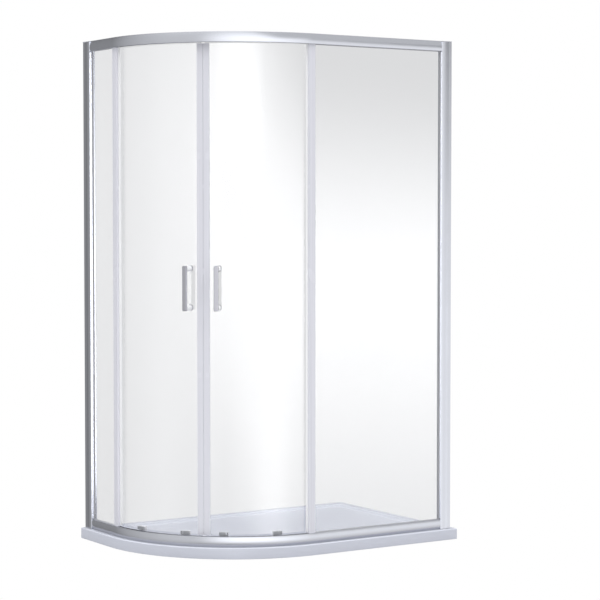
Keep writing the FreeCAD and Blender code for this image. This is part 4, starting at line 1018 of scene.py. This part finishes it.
direction = new_node(sky, "SeparateXYZ", Vector=new_node(sky, "TexCoord")["Generated"])
azimuth = calc(sky, "DEGREES", calc(sky, "ARCTAN2", direction["Y"], direction["X"]))
azimuth = minus(azimuth, times(calc(sky, "GREATER_THAN", azimuth, LAST), 360.0))
elevation = calc(sky, "DEGREES", calc(sky, "ARCSINE", direction["Z"]))
turn_part = calc(sky, "DIVIDE", minus(azimuth, FIRST), 360.0)


def by_azimuth(*stops):
    """Brightness that follows (azimuth in degrees, brightness) stops in straight lines."""
    ramp = sky.nodes.new("ShaderNodeValToRGB")
    sky.links.new(turn_part, ramp.inputs["Fac"])
    elements = ramp.color_ramp.elements
    elements.remove(elements[1])
    for index, (angle, value) in enumerate(stops):
        part = (angle - FIRST) / 360.0
        stop = elements[0] if index == 0 else elements.new(part)
        stop.position = part
        stop.color = (value / SCALE, value / SCALE, value / SCALE, 1)
    return times(ramp.outputs["Color"], SCALE)


def blend(low, high, factor):
    """Value between two values: the low one plus the factor times their difference."""
    return add(low, times(minus(high, low), factor))


def around(value, half_width):
    """Range that starts half a width before a value and ends as far behind it."""
    return minus(value, half_width), add(value, half_width)


print("directions ready")

# %% [markdown]
# ### What metal mirrors
# In front a bright band stands on the horizon and gets taller to the left; the sides are dimmer,
# and brighter upwards. A dark corner on the right draws the shade along the straight rail, and
# above and below lie ceiling and ground. The values came from comparing rails and photograph.

# %% The room for metal
OVERHEAD, CORNER = 1.35, 0.22
LEFT = ((-260, 0.14), (-252, 0.2), (-240, 0.29), (-224, 0.43), (-200, 0.55))
RIGHT = ((0, 0.4), (60, 0.16), (100, 0.14))
sides = by_azimuth(*LEFT, (-180, 0.62), (-130, 0.58), (-50, 0.57), *RIGHT)
front = by_azimuth(*LEFT, (-180, 0.63), (-152, 0.66), (-134, 1.15), (-122, 1.35), (-97, 1.35),
                   (-84, 1.22), (-66, 1.02), (-54, 0.86), (-44, 1.05), (-20, 0.6), *RIGHT)
to_left = ease(azimuth, (-135.0, -95.0), (1.0, 0.0))
tilt = calc(sky, "MAXIMUM", calc(sky, "MINIMUM", elevation, 30.0), -30.0)
sides = add(sides, times(times(tilt, to_left), 0.004))
over = add(elevation, 6.0)
tall = ease(azimuth, (-88.0, -106.0), (24.0, 76.0), smooth=False)
band = times(ease(over, (4.0, tall), (1.0, 0.0)), ease(over, (-4.0, -26.0), (1.0, 0.0)))
corner = times(ease(azimuth, (-64.0, -46.0), (0.0, 1.0)), ease(elevation, (-1.5, 6.0), (0.0, 1.0)))
corner = times(corner, ease(elevation, (9.0, 16.0), (1.0, 0.0)))
ground = ease(azimuth, (-120.0, -80.0), (0.36, 0.6))
metal_room = blend(blend(sides, front, band), CORNER, corner)
metal_room = blend(metal_room, OVERHEAD, ease(elevation, (44.0, 75.0), (0.0, 1.0)))
metal_room = blend(metal_room, ground, ease(elevation, (-22.0, -45.0), (0.0, 1.0)))
print(len(sky.nodes), "world nodes so far")

# %% [markdown]
# ### What clear glass mirrors
# The panes mirror a wide bright window, which is kept out of the brushed metal. Its head slopes
# down to the right and its foot lies under the horizon; both are soft, and softer to the left. The
# head is brightest where the curved door turns towards it.

# %% The room for glass
DIM, UNDER_FOOT = 0.4, 0.31
PANE_END = -57.0
light = by_azimuth((-246, 1.3), (-237, 1.4), (-207, 2.4), (-185, 3.4), (-162, 3.9), (-145, 5.5),
                   (-48, 5.5), (-34, 0.4), (100, 0.4))
foot = by_azimuth((-196, 10.0), (-162, 6.0), (-131, 5.5), (-110, 7.8), (-97, 10.2), (-86, 10.6),
                  (-72, 7.6), (-57, 6.5))
gain = by_azimuth((-260, 1.0), (-140, 1.0), (-122, 1.5), (-106, 1.45), (-96, 1.0), (-82, 0.85),
                  (-66, 1.0), (100, 1.0))
from_pane = minus(PANE_END, azimuth)
head = calc(sky, "MINIMUM", add(1.5, times(from_pane, 0.0875)), 7.5)
head_fade = calc(sky, "MINIMUM", add(3.4, times(from_pane, 0.035)), 7.0)
foot_fade = ease(azimuth, (-135.0, -196.0), (4.4, 10.0), smooth=False)
under_head = ease(elevation, around(head, head_fade), (1.0, 0.0))
over_foot = ease(elevation, around(times(foot, -1.0), foot_fade), (UNDER_FOOT, 1.0))
gain = blend(1.0, gain, ease(elevation, (0.5, 4.0), (0.0, 1.0)))
glass_room = blend(DIM, times(light, gain), times(under_head, over_foot))
print(len(sky.nodes), "world nodes so far")

# %% [markdown]
# ### What lights matt surfaces, and the choice of room
# Resin and plastic get soft walls and a much brighter ceiling. Cycles says what kind of ray asks:
# a singular ray was mirrored by smooth glass, a glossy one by metal, and any other lights a matt
# surface. A ray from the camera, also straight through the glass, sees plain white.

# %% The room for matt surfaces, and the choice
WALLS, CEILING, WHITE = 0.54, 2.8, 1.0
soft_room = ease(elevation, (12.0, 68.0), (WALLS, CEILING))
path = new_node(sky, "LightPath")
room = blend(soft_room, metal_room, path["Is Glossy Ray"])
room = blend(room, glass_room, path["Is Singular Ray"])
unmirrored = calc(sky, "LESS_THAN", add(path["Glossy Depth"], path["Diffuse Depth"]), 0.5)
seen = calc(sky, "MAXIMUM", path["Is Camera Ray"], times(path["Is Transmission Ray"], unmirrored))
set_inputs(sky, sky.nodes["Background"], Color=(1, 1, 1, 1), Strength=blend(room, WHITE, seen))
bpy.context.scene.view_settings.view_transform = "Standard"
print(len(sky.nodes), "world nodes in all")

# %% [markdown]
# ### The floor
# The floor lights the undersides as a grey sheet would and otherwise shines plain white, so that
# it runs into the background without an edge, as in the photograph. A ray that metal has mirrored
# goes through it, down to the ground of its room.

# %% Floor
FLOOR, FLOOR_LEVEL = 20.0, -0.0005
floor_mesh = bpy.data.meshes.new("floor")
floor_mesh.from_pydata([(-FLOOR, -FLOOR, 0), (FLOOR, -FLOOR, 0), (FLOOR, FLOOR, 0),
                        (-FLOOR, FLOOR, 0)], [], [(0, 1, 2, 3)])
floor = new_object("floor", floor_mesh)
floor.location.z = FLOOR_LEVEL
floor.visible_glossy = False
material, tree, shader, vector = blank_material("floor_white")
set_inputs(tree, shader, Base_Color=(0.4, 0.4, 0.41, 1), Roughness=0.9)


def either(factor, first, second):
    """Shader that is the first where the factor is 0 and the second where it is 1."""
    choice = tree.nodes.new("ShaderNodeMixShader")
    for source, socket in zip((factor, first, second), choice.inputs):
        tree.links.new(source, socket)
    return choice.outputs[0]


path = new_node(tree, "LightPath")
mirrored = calc(tree, "GREATER_THAN", path["Glossy Depth"], 0.5)
shining = new_node(tree, "Emission", Strength=WHITE)[0]
shining = either(mirrored, shining, new_node(tree, "BsdfTransparent")[0])
surface = either(path["Is Diffuse Ray"], shining, shader.outputs[0])
tree.links.new(surface, tree.nodes["Material Output"].inputs["Surface"])
floor_mesh.materials.append(material)
print("world and floor ready")
